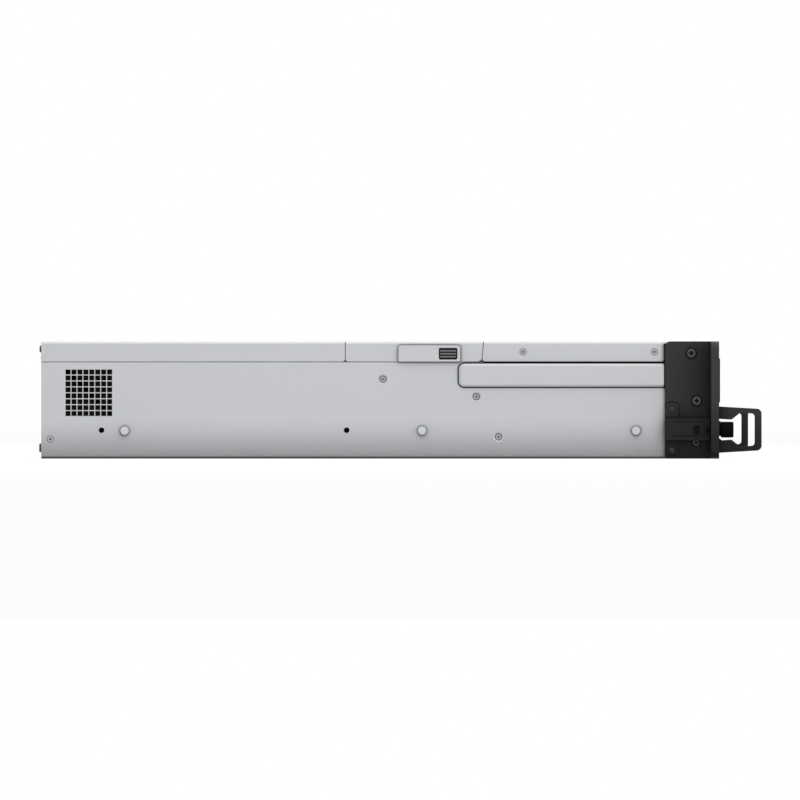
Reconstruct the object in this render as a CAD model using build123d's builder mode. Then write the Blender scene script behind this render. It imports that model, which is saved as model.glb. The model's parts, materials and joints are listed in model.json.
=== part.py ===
"""A two-unit rack-mount network storage unit with twelve drive trays.

The case is folded sheet steel. Seen from the front there are three rows of four trays, with an ear
on each side that carries a pull handle and a captive thumbscrew. A fan bay lies behind the trays,
under a cover that lifts off, and the main board and the power supply fill the rear.

Millimetres. +Z is up, the front faces -Y, and the origin is on the floor in the middle of the
whole unit, from the handles' tips to the rear screws' heads.
"""

import os

from build123d import *

os.makedirs("parts", exist_ok=True)

# Case
unit_height = 88.0  # two rack units of 44.45, less the play between neighbours
chassis_depth = 508.1  # from the ears' front face to the rear face
sheet = 1.2
bend_radius = 2.0
slip = 0.2  # between formed sheets that slide past each other
seam = 0.5  # between neighbouring covers

# Rack interface
ear_span = 482.6  # the nineteen-inch panel width
ear_width = 26.05  # of an ear beyond the case's side wall
rack_hole_inset = 8.75  # of the rack's holes from the panel's edges
rack_screw_height = 21.8  # second hole of the rack unit, above the unit's base

# Covers, as distances behind the ears' front face
skirt_height = 15.2
joggle_rise = 0.4  # of the step that takes the wall in behind the skirts
joggle_gap = 0.1
cover_front = 3.0
drive_section_end = 176.9
fan_section_end = 280.0

# Ears
ear_plate_thickness = 1.8
ear_plate_length = 40.1
ear_plate_corner = 4.0
flange_thickness = 6.0
flange_corner = 5.0
handle_reach = 31.9
rear_screw_head = 1.7

# Places on the side walls, as (distance behind the front, height)
rear_stud_from_rear = 62.5
rear_hole_from_rear = 45.2
stud_spots = [(61.9, 21.0), (222.4, 21.0), (chassis_depth - rear_stud_from_rear, 21.0)]
rail_hole_spots = [(279.0, 21.3), (chassis_depth - rear_hole_from_rear, 21.3)]
cage_screw_spots = [(181.8, 46.5), (165.0, 16.3)]
fan_screw_spots = [(251.8, 59.6)]
cover_screw_height = unit_height - 7.9
cover_screw_spots = [(48.1, cover_screw_height), (146.6, cover_screw_height)]
panel_screw_from_rear = 6.8
panel_screw_spots = [(chassis_depth - panel_screw_from_rear, 14.7)]

# Side hardware
stud_radius = 3.1
stud_length = 2.5
rail_hole_radius = 2.1
dimple_radius = 3.6
dimple_depth = 0.8
dimple_floor_radius = 2.8
dimple_head_radius = 2.6
dimple_head_height = 0.5
flush_head_radius = 2.5
flush_head_height = 0.2

# Side vent, a square grid of square holes in the left wall
vent_count = 8
vent_pitch = 4.45
vent_hole = 3.75
vent_from_rear = 35.7
vent_below_skirt = 23.4  # from the skirts' lower edge to the vent's middle

# Cover latch, a push button in a raised housing on each skirt of the fan cover
latch_housing_length = 46.3
latch_housing_from_seam = 16.9
latch_housing_proud = 1.6
latch_housing_from_top = 3.0
latch_window = (13.9, 8.8)
latch_window_from_end = 9.1
latch_fit = 0.25
latch_button_sunk = 0.5

# Drive bays
columns = 4
rows = 3
row_top_play = 0.65  # above the upper row's trays
cage_sheet = 1.0
cage_to_wall = 1.6
cage_front = 13.5
cage_rear = 168.0
ledge_width = 3.0
ledge_thickness = 0.8
ledge_setback = 1.5  # of the ledges from the cage's ends
cage_pad = 8.4
cage_tab = 12.0

# Drive trays
tray_side_gap = 0.3
tray_slip = 0.05
tray_wall = 1.2
tray_floor = 0.6
tray_row_gap = 1.1  # above a tray's walls, up to the next tray's floor
tray_end = 162.0
tray_floor_margin = 27.2  # beside the openings in the tray's floor
tray_floor_window = 50.0
tray_floor_pitch = 66.0
bezel_front = 1.0
bezel_depth = 12.0
bezel_gap = 0.775  # between neighbouring bezels
bezel_row_gap = 1.0

# Tray levers, each on an upright hinge post near the right end of its bezel
lever_to_bezel_edge = 3.3
lever_thickness = 4.5
lever_sunk = 0.2
lever_slots = 6
lever_slot_rim = 3.7  # of the lever above and below its slots
lever_slot_web = 4.8  # between neighbouring slots
lever_slot_margins = (10.0, 10.0)  # from the free end, and from the hinge's axis
lever_grip = 1.6  # of the slope that thins the lever's free end from behind
knuckle = 3.0  # from the hinge's axis to the lever's face and end
knuckle_back = 2.3
knuckle_corner = 1.6
hinge_from_edge = 8.1
hinge_post_radius = 1.25
hinge_fit = 0.05
pocket_depth = 6.5
pocket_play = 0.3  # above and below the lever
pocket_end_gap = 0.6
finger_gap = 5.5
left_post = 5.6  # of the bezel, between the finger gap and the edge
air_window_margin = 12.6
air_window_web = 4.8  # between the two air windows behind the lever
air_window_rim = 5.5  # of the bezel above and below the air windows

# Backplane
board_thickness = 1.6
backplane_margin = 1.5
backplane_window_margin = 27.4
backplane_window = 8.0
backplane_window_height = 19.0  # above the tray's underside
connector = (44.0, 7.0)
connector_height = 7.0  # of its middle, above the tray's underside
connector_to_tray = 0.3

# Fans
fans = 3
fan_pitch = 140.0
fan_to_cover = 4.4
fan_depth = 38.0
fan_wall = 2.0  # of the housing beside its duct
fan_rear = 243.0
fan_hub_radius = 16.5
fan_motor_radius = 18.0
fan_motor_depth = 4.0
fan_strut = 4.0
fan_hub_gap = 0.2
fan_hub_depth = 30.0
fan_blades = 5
blade_gap = 2.5  # from the blades' tips to the duct
blade_root = 10.5
blade_thickness = 1.5
blade_line = [(-12.0, -11.0), (-2.0, 1.0), (12.0, 9.0)]  # (along the axis, around it)
bracket_sheet = 1.2
bracket_front = 200.0
bracket_flange = 14.5
bracket_rim = 1.0  # of the bracket inside the fans' ducts

# Main board
main_board_from_fans = 43.0
main_board_side_gap = 10.0  # from the left wall and from the power supply
main_board_rear_gap = 4.7
main_board_height = 8.0
standoff_radius = 3.0
standoff_margin = 8.0
heatsink_place = -70.0
board_parts_shift = 8.5  # of the heat sink and the memory, forward from the board's middle
heatsink_size = (70.0, 70.0)
heatsink_height = 36.0
heatsink_base = 5.0
heatsink_fins = 11
heatsink_fin = 2.0
memory_places = (20.0, 32.0)
memory_size = (133.0, 30.0)
memory_thickness = 1.3
memory_socket = (140.0, 6.5, 8.0)

# Rear of the case
port_proud = 0.3
port_gap = 0.4
network_place = -30.0
network_ports = 4
network_pitch = 16.5
network_size = (21.0, 13.5)
network_pocket = (11.8, 8.2, 11.0)
usb_place = 18.0
usb_size = (14.6, 17.0, 15.6)
usb_ports = 2
usb_pitch = 7.4
usb_pocket = (13.0, 5.2, 9.0)
expansion_place = -92.0
expansion_size = (25.0, 20.0, 10.0)
expansion_pocket = (20.0, 6.0, 10.0)
supply_side_gap = 4.05
supply_size = (100.0, 180.0, 70.0)
supply_setback = 0.1
supply_opening = (94.0, 64.0)
inlet_place = (-24.0, 12.0)  # from the middle of the supply's rear face, seen from the front
inlet_pocket = (27.6, 20.0, 16.0)
inlet_pin = (2.0, 10.5, 6.0)
inlet_pin_spots = [(-7.0, -2.0), (0.0, 2.0), (7.0, -2.0)]
supply_vent_place = (22.0, 0.0)
supply_vent = (38.0, 3.0, 2.0)
supply_vent_rows = 7
supply_vent_pitch = 7.0
card_from_wall = 24.05
card_pitch = 20.32
card_opening_width = 11.0
card_cover_width = 18.4
card_cover_thickness = 0.9
card_cover_bottom = 5.0
card_cover_to_lip = 3.5  # from the slot covers to the lip of the rear cover
card_seat = 6.0  # of the panel above and below a slot, behind its cover
rear_vent_place = -92.0
rear_vent_height = 52.0
rear_vent = (3.0, 26.0)
rear_vent_count = 14
rear_vent_pitch = 6.0
rear_lip_height = 9.5
panel_flange = 12.0
panel_lip = 8.0

# Screws, plain heads that stand on what they hold
pan_head_height = 1.1
ear_screw_spots = [(20.5, 79.1), (16.4, 43.4), (16.9, 11.9)]
ear_head_radii = (3.75, 3.75, 2.65)
rear_lip_screws = 4
rear_lip_screw_pitch = 130.0
rear_lip_screw_from_top = 5.7
rear_lip_head_radius = 2.65
ground_screw_radius = 3.4
ground_screw_from_side = 9.75
ground_screw_height = 8.1

# Ear details
flange_hole_fit = 0.06
relief_slot = (1.8, 10.3)
relief_floor = 0.6  # of plate that stays behind the relief slots
relief_from_screw = 10.75
guide_plate = (9.4, 39.0)
guide_plate_middle = (34.9, 22.0)
guide_plate_thickness = 1.2
guide_plate_corner = 2.0
strap_start = 6.6
strap_end = 40.4
strap_bottom = 13.7
strap_top = 30.0
strap_thickness = 4.0
strap_foot = 5.4
strap_corner = 1.0
strap_groove = (24.4, 1.0, 0.8)
strap_groove_middle = 22.5
strap_groove_heights = (16.9, 27.8)
strap_window = (4.7, 6.9)
strap_window_place = (16.7, 21.3)
strap_window_corner = 1.6
front_plate = (18.0, 33.0)
front_plate_from_edge = 13.3
front_plate_height = 58.7
front_plate_thickness = 0.75
front_plate_corner = 2.0

# Pull handles, flat plates that stand on the ears in line with the rack's holes
handle_thickness = 4.0
handle_outline = [(0.0, 17.35), (handle_reach, 15.5)]  # (reach, half height)
handle_opening = [(0.0, 8.05), (9.4, 7.5), (15.7, 12.5), (26.7, 12.0)]
handle_corner = 3.75
handle_inner_corner = 2.5

# Captive thumbscrews
thumbscrew_radius = 2.5
collar_radius = 4.4
collar_height = 1.3
knob_radius = 5.95
knob_height = 9.5
knob_edge = 0.6
thumbscrew_gap = 0.05
keeper_radius = 3.4
keeper_height = 0.8
thumbscrew_tip = 4.0  # behind the flange

# Power button and status lights, on the right ear
button_radius = 4.2
button_fit = 0.08
button_proud = 0.5
button_depth = 2.6
button_pocket = 5.0
button_height = 67.0
light_radius = 1.1
light_proud = 0.4
light_heights = (48.0, 52.5, 57.0)

# Cable ducts
duct_start = 194.9
duct_to_skirt = 1.5
duct_height = 17.4
duct_thickness = 1.6
duct_wall = 0.8
duct_bevel = 1.5
duct_rim = 0.4
duct_corner = 4.1

# Covers
skirt_corner = 2.3
fan_skirt_corner = 3.2
seam_lean = 1.4  # of the seam ahead of the fan cover, over the skirt's height
latch_housing_wall = 1.2
latch_notch_gap = 5.5
latch_window_corner = 1.2
latch_housing_corner = 2.0
latch_flange = (15.0, 1.0)
latch_shift = 0.2  # of the window, down from the housing's middle
latch_ribs = 3
latch_rib_pitch = 2.2
latch_rib = (12.0, 0.9, 0.4)

# Derived places
half_width = ear_span / 2 - ear_width
front_y = handle_reach - (handle_reach + chassis_depth + rear_screw_head) / 2
rear_y = front_y + chassis_depth
skirt_bottom = unit_height - skirt_height
joggle_x = half_width - sheet - slip
joggle_top = skirt_bottom - joggle_gap
joggle_bottom = joggle_top - joggle_rise
wall_top = unit_height - bend_radius
wall_inside = half_width - sheet
wall_flat_top = joggle_bottom - sheet
latch_distance = drive_section_end + latch_housing_from_seam + latch_window_from_end
latch_housing_top = unit_height - latch_housing_from_top
latch_height = (skirt_bottom + latch_housing_top) / 2 - latch_shift
vent_height = skirt_bottom - vent_below_skirt
duct_top = skirt_bottom - duct_to_skirt
duct_bottom = duct_top - duct_height
rear_lip_screw_height = unit_height - rear_lip_screw_from_top


def behind_front(distance):
    """Y of a plane that lies this far behind the ears' front face."""
    return front_y + distance


def on_side(side, distance, height, proud=0.0):
    """A plane on a side wall that looks outward. side is -1 for the left wall and 1 for the right."""
    return Plane(
        origin=(side * (half_width + proud), behind_front(distance), height),
        x_dir=(0, side, 0),
        z_dir=(side, 0, 0),
    )


def both_sides(spots, proud=0.0):
    """The planes of on_side for every (distance, height) spot, on the left and the right wall."""
    return [on_side(side, *spot, proud) for side in (-1, 1) for spot in spots]


def save(piece, name):
    """Labels a finished piece and writes it as its own file."""
    piece.label = name
    export_step(piece, f"parts/{name}.step")


# More derived places
cage_half_width = wall_inside - cage_to_wall
bay_width = (2 * (cage_half_width - cage_sheet) - (columns - 1) * cage_sheet) / columns
column_pitch = bay_width + cage_sheet
cover_underside = unit_height - sheet
bulkhead_top = cover_underside - slip
tray_base = sheet + cage_sheet + tray_slip
row_pitch = (cover_underside - cage_sheet - tray_base - row_top_play + tray_row_gap) / rows
tray_width = bay_width - 2 * tray_side_gap
tray_height = row_pitch - tray_row_gap  # holds a drive 26.1 high on the floor, with a little play
bezel_height = row_pitch - bezel_row_gap
lever_height = bezel_height - 2 * lever_to_bezel_edge
lever_slot_height = lever_height - 2 * lever_slot_rim
pocket_height = lever_height + 2 * pocket_play
air_window_height = bezel_height - 2 * air_window_rim
bezel_back = bezel_front + bezel_depth
bezel_middle = bezel_height / 2 - tray_slip
bezel_face_y = behind_front(bezel_front)
column_places = [column_pitch * (i - (columns - 1) / 2) for i in range(columns)]
row_places = [tray_base + row_pitch * i for i in range(rows)]
bay_places = [(x, z) for z in row_places for x in column_places]
bezel_width = column_pitch - bezel_gap
flange_inner = column_places[-1] + bezel_width / 2 + bezel_gap
ear_x = ear_span / 2 - rack_hole_inset
front_plate_x = ear_span / 2 - front_plate_from_edge
fan_size = cover_underside - fan_to_cover - sheet - bracket_sheet
fan_duct_radius = fan_size / 2 - fan_wall
blade_tip = fan_duct_radius - blade_gap
bracket_opening_radius = fan_duct_radius - bracket_rim
fan_axis_height = sheet + bracket_sheet + fan_size / 2
fan_places = [fan_pitch * (i - (fans - 1) / 2) for i in range(fans)]
rear_panel_y = rear_y - sheet
ground_screw_x = ground_screw_from_side - half_width
board_top = main_board_height + board_thickness
supply_place = wall_inside - supply_side_gap - supply_size[0] / 2
board_left = main_board_side_gap - wall_inside
board_front = fan_rear + main_board_from_fans
board_rear = chassis_depth - 2 * sheet - main_board_rear_gap
main_board_depth = board_rear - board_front
board_parts_distance = (board_front + board_rear) / 2 - board_parts_shift
board_right = supply_place - supply_size[0] / 2 - main_board_side_gap
card_cover_top = unit_height - rear_lip_height - card_cover_to_lip
card_height = (card_cover_bottom + card_cover_top) / 2
card_cover = (card_cover_width, card_cover_top - card_cover_bottom)
card_opening = (card_opening_width, card_cover[1] - 2 * card_seat)
card_places = [card_from_wall - wall_inside + card_pitch * i for i in range(2)]


def outward(y, x=0.0, z=0.0):
    """A plane at (x, y, z) across the unit that looks towards the front."""
    return Plane(origin=(x, y, z), x_dir=(1, 0, 0), z_dir=(0, -1, 0))


def rearward(y, x=0.0, z=0.0):
    """A plane at (x, y, z) across the unit that looks towards the rear."""
    return Plane(origin=(x, y, z), x_dir=(-1, 0, 0), z_dir=(0, 1, 0))


# The folded section that all three covers share, seen from the front
with BuildSketch() as cover_section:
    with BuildLine():
        FilletPolyline(
            (-half_width, skirt_bottom),
            (-half_width, unit_height),
            (half_width, unit_height),
            (half_width, skirt_bottom),
            radius=[bend_radius, bend_radius],
        )
        offset(amount=sheet, side=Side.RIGHT, kind=Kind.INTERSECTION)
    make_face()

# The section of a plate that fills the case between its walls
with BuildSketch() as bulkhead_section:
    with Locations((0, sheet)):
        Rectangle(2 * wall_inside, wall_flat_top - sheet, align=(Align.CENTER, Align.MIN))
    chamfer(bulkhead_section.vertices().group_by(Axis.Y)[0], length=bend_radius - sheet)
    with Locations((0, sheet)):
        Rectangle(
            2 * (joggle_x - sheet - slip),
            bulkhead_top - sheet,
            align=(Align.CENTER, Align.MIN),
        )

# The folded tray of the case: floor and side walls, stepped inward behind the covers' skirts
with BuildPart() as chassis_shell:
    with BuildSketch(outward(rear_y)):
        with BuildLine():
            FilletPolyline(
                (-joggle_x, wall_top),
                (-joggle_x, joggle_top),
                (-half_width, joggle_bottom),
                (-half_width, 0),
                (half_width, 0),
                (half_width, joggle_bottom),
                (joggle_x, joggle_top),
                (joggle_x, wall_top),
                radius=[0, 0, bend_radius, bend_radius, 0, 0],
            )
            offset(amount=sheet, side=Side.LEFT, kind=Kind.INTERSECTION)
        make_face()
    extrude(amount=chassis_depth - flange_thickness - slip)
    # The floor reaches forward between the ears
    with Locations((0, behind_front(cover_front), 0)):
        Box(
            2 * (flange_inner - slip),
            flange_thickness + bend_radius,
            sheet,
            align=(Align.CENTER, Align.MIN, Align.MIN),
        )
    # The left wall's vent
    with BuildSketch(Plane.YZ.offset(-half_width)):
        with Locations((rear_y - vent_from_rear, vent_height)):
            with GridLocations(vent_pitch, vent_pitch, vent_count, vent_count):
                Rectangle(vent_hole, vent_hole)
    extrude(amount=sheet, mode=Mode.SUBTRACT)
    # Holes for the rail screws, and dimples for the screws of the cage and the fan bracket
    with Locations(*both_sides(rail_hole_spots)):
        Hole(rail_hole_radius, depth=sheet)
    with Locations(*both_sides(cage_screw_spots + fan_screw_spots)):
        Cone(
            dimple_floor_radius,
            dimple_radius,
            dimple_depth,
            align=(Align.CENTER, Align.CENTER, Align.MAX),
            mode=Mode.SUBTRACT,
        )
    # Notches that leave room for the latch buttons of the fan cover
    with Locations(*[(side * joggle_x, behind_front(latch_distance), wall_top) for side in (-1, 1)]):
        Box(
            4 * sheet,
            latch_flange[0] + 2 * latch_notch_gap,
            2 * (wall_top - joggle_top),
            mode=Mode.SUBTRACT,
        )

save(chassis_shell.part, "chassis_shell")

# The cage that holds the trays: a box open to the front and the rear, with dividers and ledges
with BuildPart() as drive_cage:
    with BuildSketch(outward(behind_front(cage_rear))):
        with Locations((0, (sheet + cover_underside) / 2)):
            Rectangle(2 * cage_half_width, cover_underside - sheet)
        for x in column_places:
            with Locations((x, (sheet + cover_underside) / 2)):
                Rectangle(bay_width, cover_underside - sheet - 2 * cage_sheet, mode=Mode.SUBTRACT)
    extrude(amount=cage_rear - cage_front)
    # A ledge on each side of every bay of the upper rows
    for x in column_places:
        for z in row_places[1:]:
            for side in (-1, 1):
                ledge_front = behind_front(cage_front + ledge_setback)
                with Locations((x + side * bay_width / 2, ledge_front, z - tray_slip)):
                    Box(
                        ledge_width,
                        cage_rear - cage_front - 2 * ledge_setback,
                        ledge_thickness,
                        align=(Align.MAX if side > 0 else Align.MIN, Align.MIN, Align.MAX),
                    )
    # Tabs behind the board, and pads that reach the case walls at the cage's screws
    tab_distance, tab_height = cage_screw_spots[0]
    for side in (-1, 1):
        with Locations((side * cage_half_width, behind_front(cage_rear), tab_height)):
            Box(
                cage_sheet,
                tab_distance - cage_rear + cage_tab / 2,
                cage_tab,
                align=(Align.MAX if side > 0 else Align.MIN, Align.MIN, Align.CENTER),
            )
    with Locations(*both_sides(cage_screw_spots, -sheet - cage_to_wall)):
        Box(cage_pad, cage_pad, cage_to_wall, align=(Align.CENTER, Align.CENTER, Align.MIN))

save(drive_cage.part, "drive_cage")

# The board behind the bays, with a window for the air above each plug
with BuildPart() as backplane_board:
    with BuildSketch(outward(behind_front(cage_rear + board_thickness))):
        with Locations((0, (sheet + cover_underside) / 2)):
            Rectangle(
                2 * (cage_half_width - backplane_margin),
                cover_underside - sheet - 2 * backplane_margin,
            )
        with Locations(*[(x, z + backplane_window_height) for x, z in bay_places]):
            Rectangle(bay_width - 2 * backplane_window_margin, backplane_window, mode=Mode.SUBTRACT)
    extrude(amount=board_thickness)

save(backplane_board.part, "backplane_board")

with BuildPart() as drive_connectors:
    connector_depth = cage_rear - tray_end - connector_to_tray
    for x, z in bay_places:
        with Locations(outward(behind_front(cage_rear), x, z + connector_height)):
            Box(*connector, connector_depth, align=(Align.CENTER, Align.CENTER, Align.MIN))

save(drive_connectors.part, "drive_connectors")

# The drive trays, drawn in the middle of the unit with the underside at zero
with BuildPart() as tray:
    with Locations((0, bezel_face_y, -tray_slip)):
        Box(bezel_width, bezel_depth, bezel_height, align=(Align.CENTER, Align.MIN, Align.MIN))
    with BuildSketch(outward(behind_front(tray_end))):
        with Locations((0, tray_height / 2)):
            Rectangle(tray_width, tray_height)
        with Locations((0, tray_height / 2 + tray_floor)):
            Rectangle(tray_width - 2 * tray_wall, tray_height, mode=Mode.SUBTRACT)
    extrude(amount=tray_end - bezel_back)
    # Two openings in the floor, for the air under the drive
    tray_floor_middle = behind_front((tray_end + bezel_back) / 2)
    with Locations((0, tray_floor_middle, 0)):
        with GridLocations(0, tray_floor_pitch, 1, 2):
            Box(
                tray_width - 2 * tray_floor_margin,
                tray_floor_window,
                2 * tray_floor,
                mode=Mode.SUBTRACT,
            )
    # The pocket the lever folds into, open to the drive behind it
    hinge_x = bezel_width / 2 - hinge_from_edge
    pocket_right = hinge_x + knuckle + pocket_end_gap
    pocket_left = left_post - bezel_width / 2
    with BuildSketch(outward(bezel_face_y, 0, bezel_middle)):
        with Locations(((pocket_left + pocket_right) / 2, 0)):
            Rectangle(pocket_right - pocket_left, pocket_height)
    extrude(amount=-pocket_depth, mode=Mode.SUBTRACT)
    with BuildSketch(outward(bezel_face_y, 0, bezel_middle)):
        window_pitch = bezel_width / 2 - air_window_margin + air_window_web / 2
        with GridLocations(window_pitch, 0, 2, 1):
            Rectangle(window_pitch - air_window_web, air_window_height)
    extrude(amount=-bezel_depth, mode=Mode.SUBTRACT)
    # The hinge post, across the pocket's height
    hinge_y = bezel_face_y + lever_sunk + knuckle
    with Locations((hinge_x, hinge_y, bezel_middle)):
        Cylinder(hinge_post_radius, pocket_height)

# The slotted lever that covers the pocket and swings out around the hinge post
with BuildPart() as tray_lever:
    with BuildSketch(Plane.XY.offset(bezel_middle - lever_height / 2)):
        with BuildLine():
            lever_face = hinge_y - knuckle
            lever_back = lever_face + lever_thickness
            lever_tip = pocket_left + finger_gap
            lever_end = hinge_x + knuckle
            Polyline(
                (lever_end - knuckle_corner, lever_face),
                (lever_tip, lever_face),
                (lever_tip, lever_back - lever_grip),
                (lever_tip + 3 * lever_grip, lever_back),
                (hinge_x - knuckle, lever_back),
                (hinge_x - knuckle_corner, hinge_y + knuckle_back),
                (lever_end - knuckle_corner, hinge_y + knuckle_back),
                (lever_end, hinge_y + knuckle_back - knuckle_corner),
                (lever_end, lever_face + knuckle_corner),
                close=True,
            )
        make_face()
        with Locations((hinge_x, hinge_y)):
            Circle(hinge_post_radius + hinge_fit, mode=Mode.SUBTRACT)
    extrude(amount=lever_height)
    # Slots for the air, from near the free end to near the hinge
    slots_left = lever_tip + lever_slot_margins[0]
    slots_right = hinge_x - lever_slot_margins[1]
    slot_pitch = (slots_right - slots_left + lever_slot_web) / lever_slots
    with BuildSketch(outward(lever_face, (slots_left + slots_right) / 2, bezel_middle)):
        with GridLocations(slot_pitch, 0, lever_slots, 1):
            Rectangle(slot_pitch - lever_slot_web, lever_slot_height)
    extrude(amount=-lever_thickness, mode=Mode.SUBTRACT)

for number, (x, z) in enumerate(bay_places, 1):
    save(Pos(x, 0, z) * tray.part, f"tray_{number:02d}")
    save(Pos(x, 0, z) * tray_lever.part, f"tray_lever_{number:02d}")

# The bracket of the fan bay: a sheet under the fans and a wall behind them
with BuildPart() as fan_bracket:
    with BuildSketch(outward(behind_front(fan_rear + bracket_sheet))):
        add(bulkhead_section.sketch)
        with Locations(*[(x, fan_axis_height) for x in fan_places]):
            Circle(bracket_opening_radius, mode=Mode.SUBTRACT)
    extrude(amount=bracket_sheet)
    with Locations((0, behind_front(bracket_front), sheet)):
        Box(
            2 * wall_inside - 2 * bend_radius,
            fan_rear - bracket_front,
            bracket_sheet,
            align=(Align.CENTER, Align.MIN, Align.MIN),
        )
    # Flanges that lie along the case walls
    for side in (-1, 1):
        with Locations((side * wall_inside, behind_front(fan_rear), bend_radius)):
            Box(
                bracket_sheet,
                bracket_sheet + bracket_flange,
                wall_flat_top - bend_radius,
                align=(Align.MAX if side > 0 else Align.MIN, Align.MIN, Align.MIN),
            )

save(fan_bracket.part, "fan_bracket")

with BuildPart() as fan_housings:
    for x in fan_places:
        seat = outward(behind_front(fan_rear), x, fan_axis_height)
        with Locations(seat):
            Box(fan_size, fan_size, fan_depth, align=(Align.CENTER, Align.CENTER, Align.MIN))
            Cylinder(
                fan_duct_radius,
                fan_depth,
                align=(Align.CENTER, Align.CENTER, Align.MIN),
                mode=Mode.SUBTRACT,
            )
            Cylinder(fan_motor_radius, fan_motor_depth, align=(Align.CENTER, Align.CENTER, Align.MIN))
            with PolarLocations((fan_motor_radius + fan_duct_radius) / 2, 4, start_angle=45):
                Box(
                    fan_duct_radius - fan_motor_radius + fan_strut / 2,
                    fan_strut,
                    fan_motor_depth,
                    align=(Align.CENTER, Align.CENTER, Align.MIN),
                )

save(fan_housings.part, "fan_housings")

# The fan rotors, drawn around the middle fan's axis
with BuildPart() as fan_rotor:
    hub_rear = fan_rear - fan_motor_depth - fan_hub_gap
    with Locations(outward(behind_front(hub_rear), 0, fan_axis_height)):
        Cylinder(fan_hub_radius, fan_hub_depth, align=(Align.CENTER, Align.CENTER, Align.MIN))
    hub = fan_rotor.part
    blade_planes = [
        Plane(
            origin=(0, behind_front(hub_rear - fan_hub_depth / 2), fan_axis_height),
            x_dir=(0, 1, 0),
            z_dir=Vector(1, 0, 0).rotate(Axis.Y, 360 / fan_blades * i),
        ).offset(blade_root)
        for i in range(fan_blades)
    ]
    with BuildSketch(*blade_planes):
        Polygon(
            *blade_line,
            *[(along, around + blade_thickness) for along, around in reversed(blade_line)],
            align=None,
        )
    extrude(amount=blade_tip - blade_root)

for number, x in enumerate(fan_places, 1):
    save(Pos(x, 0, 0) * fan_rotor.part, f"fan_rotor_{number}")

# The main board on its hexagonal stand-offs
with BuildPart() as main_board:
    main_board_width = board_right - board_left
    board_middle = (
        (board_left + board_right) / 2,
        behind_front((board_front + board_rear) / 2),
    )
    with Locations((*board_middle, main_board_height)):
        Box(
            main_board_width,
            main_board_depth,
            board_thickness,
            align=(Align.CENTER, Align.CENTER, Align.MIN),
        )
    with BuildSketch(Plane.XY.offset(sheet)):
        with Locations(board_middle):
            with GridLocations(
                (main_board_width - 2 * standoff_margin) / 2,
                main_board_depth - 2 * standoff_margin,
                3,
                2,
            ):
                RegularPolygon(standoff_radius, 6)
    extrude(amount=main_board_height - sheet)

save(main_board.part, "main_board")

with BuildPart() as cpu_heatsink:
    with BuildSketch(outward(behind_front(board_parts_distance), heatsink_place, board_top)):
        Rectangle(heatsink_size[0], heatsink_height, align=(Align.CENTER, Align.MIN))
        fin_pitch = (heatsink_size[0] - heatsink_fin) / (heatsink_fins - 1)
        with Locations((0, heatsink_base)):
            with GridLocations(
                fin_pitch, 0, heatsink_fins - 1, 1, align=(Align.CENTER, Align.MIN)
            ):
                Rectangle(
                    fin_pitch - heatsink_fin,
                    heatsink_height,
                    align=(Align.CENTER, Align.MIN),
                    mode=Mode.SUBTRACT,
                )
    extrude(amount=heatsink_size[1] / 2, both=True)

save(cpu_heatsink.part, "cpu_heatsink")

with BuildPart() as memory_modules:
    for x in memory_places:
        with Locations((x, behind_front(board_parts_distance), board_top)):
            Box(
                memory_socket[1],
                memory_socket[0],
                memory_socket[2],
                align=(Align.CENTER, Align.CENTER, Align.MIN),
            )
            Box(
                memory_thickness,
                memory_size[0],
                memory_size[1],
                align=(Align.CENTER, Align.CENTER, Align.MIN),
            )

save(memory_modules.part, "memory_modules")

# Ports, as (place across, size, number of sockets, pitch across, pitch up, socket)
port_face_y = rear_y - sheet + port_proud
network_body = (network_pitch * network_ports, *network_size)
port_blocks = [
    (network_place, network_body, (network_ports, 1), network_pitch, network_pocket),
    (usb_place, usb_size, (1, usb_ports), usb_pitch, usb_pocket),
    (expansion_place, expansion_size, (1, 1), expansion_size[0], expansion_pocket),
]
with BuildPart() as rear_ports:
    for place, size, counts, pitch, socket in port_blocks:
        with Locations((place, port_face_y, board_top)):
            Box(*size, align=(Align.CENTER, Align.MAX, Align.MIN))
        with Locations(outward(port_face_y, place, board_top + size[2] / 2)):
            with GridLocations(pitch, pitch, *counts):
                Box(*socket, align=(Align.CENTER, Align.CENTER, Align.MIN), mode=Mode.SUBTRACT)

save(rear_ports.part, "rear_ports")

with BuildPart() as power_supply:
    supply_face_y = rear_y - 2 * sheet - supply_setback
    supply_middle = sheet + supply_size[2] / 2
    with Locations((supply_place, supply_face_y, sheet)):
        Box(*supply_size, align=(Align.CENTER, Align.MAX, Align.MIN))
    inlet_plane = outward(
        supply_face_y, supply_place + inlet_place[0], supply_middle + inlet_place[1]
    )
    with Locations(inlet_plane):
        Box(*inlet_pocket, align=(Align.CENTER, Align.CENTER, Align.MIN), mode=Mode.SUBTRACT)
    with Locations(inlet_plane.offset(inlet_pocket[2] - inlet_pin[1])):
        with Locations(*inlet_pin_spots):
            Box(
                inlet_pin[0],
                inlet_pin[2],
                inlet_pin[1],
                align=(Align.CENTER, Align.CENTER, Align.MIN),
            )
    vent_place = (supply_place + supply_vent_place[0], supply_middle + supply_vent_place[1])
    with Locations(outward(supply_face_y, *vent_place)):
        with GridLocations(0, supply_vent_pitch, 1, supply_vent_rows):
            Box(*supply_vent, align=(Align.CENTER, Align.CENTER, Align.MIN), mode=Mode.SUBTRACT)

save(power_supply.part, "power_supply")

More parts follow.
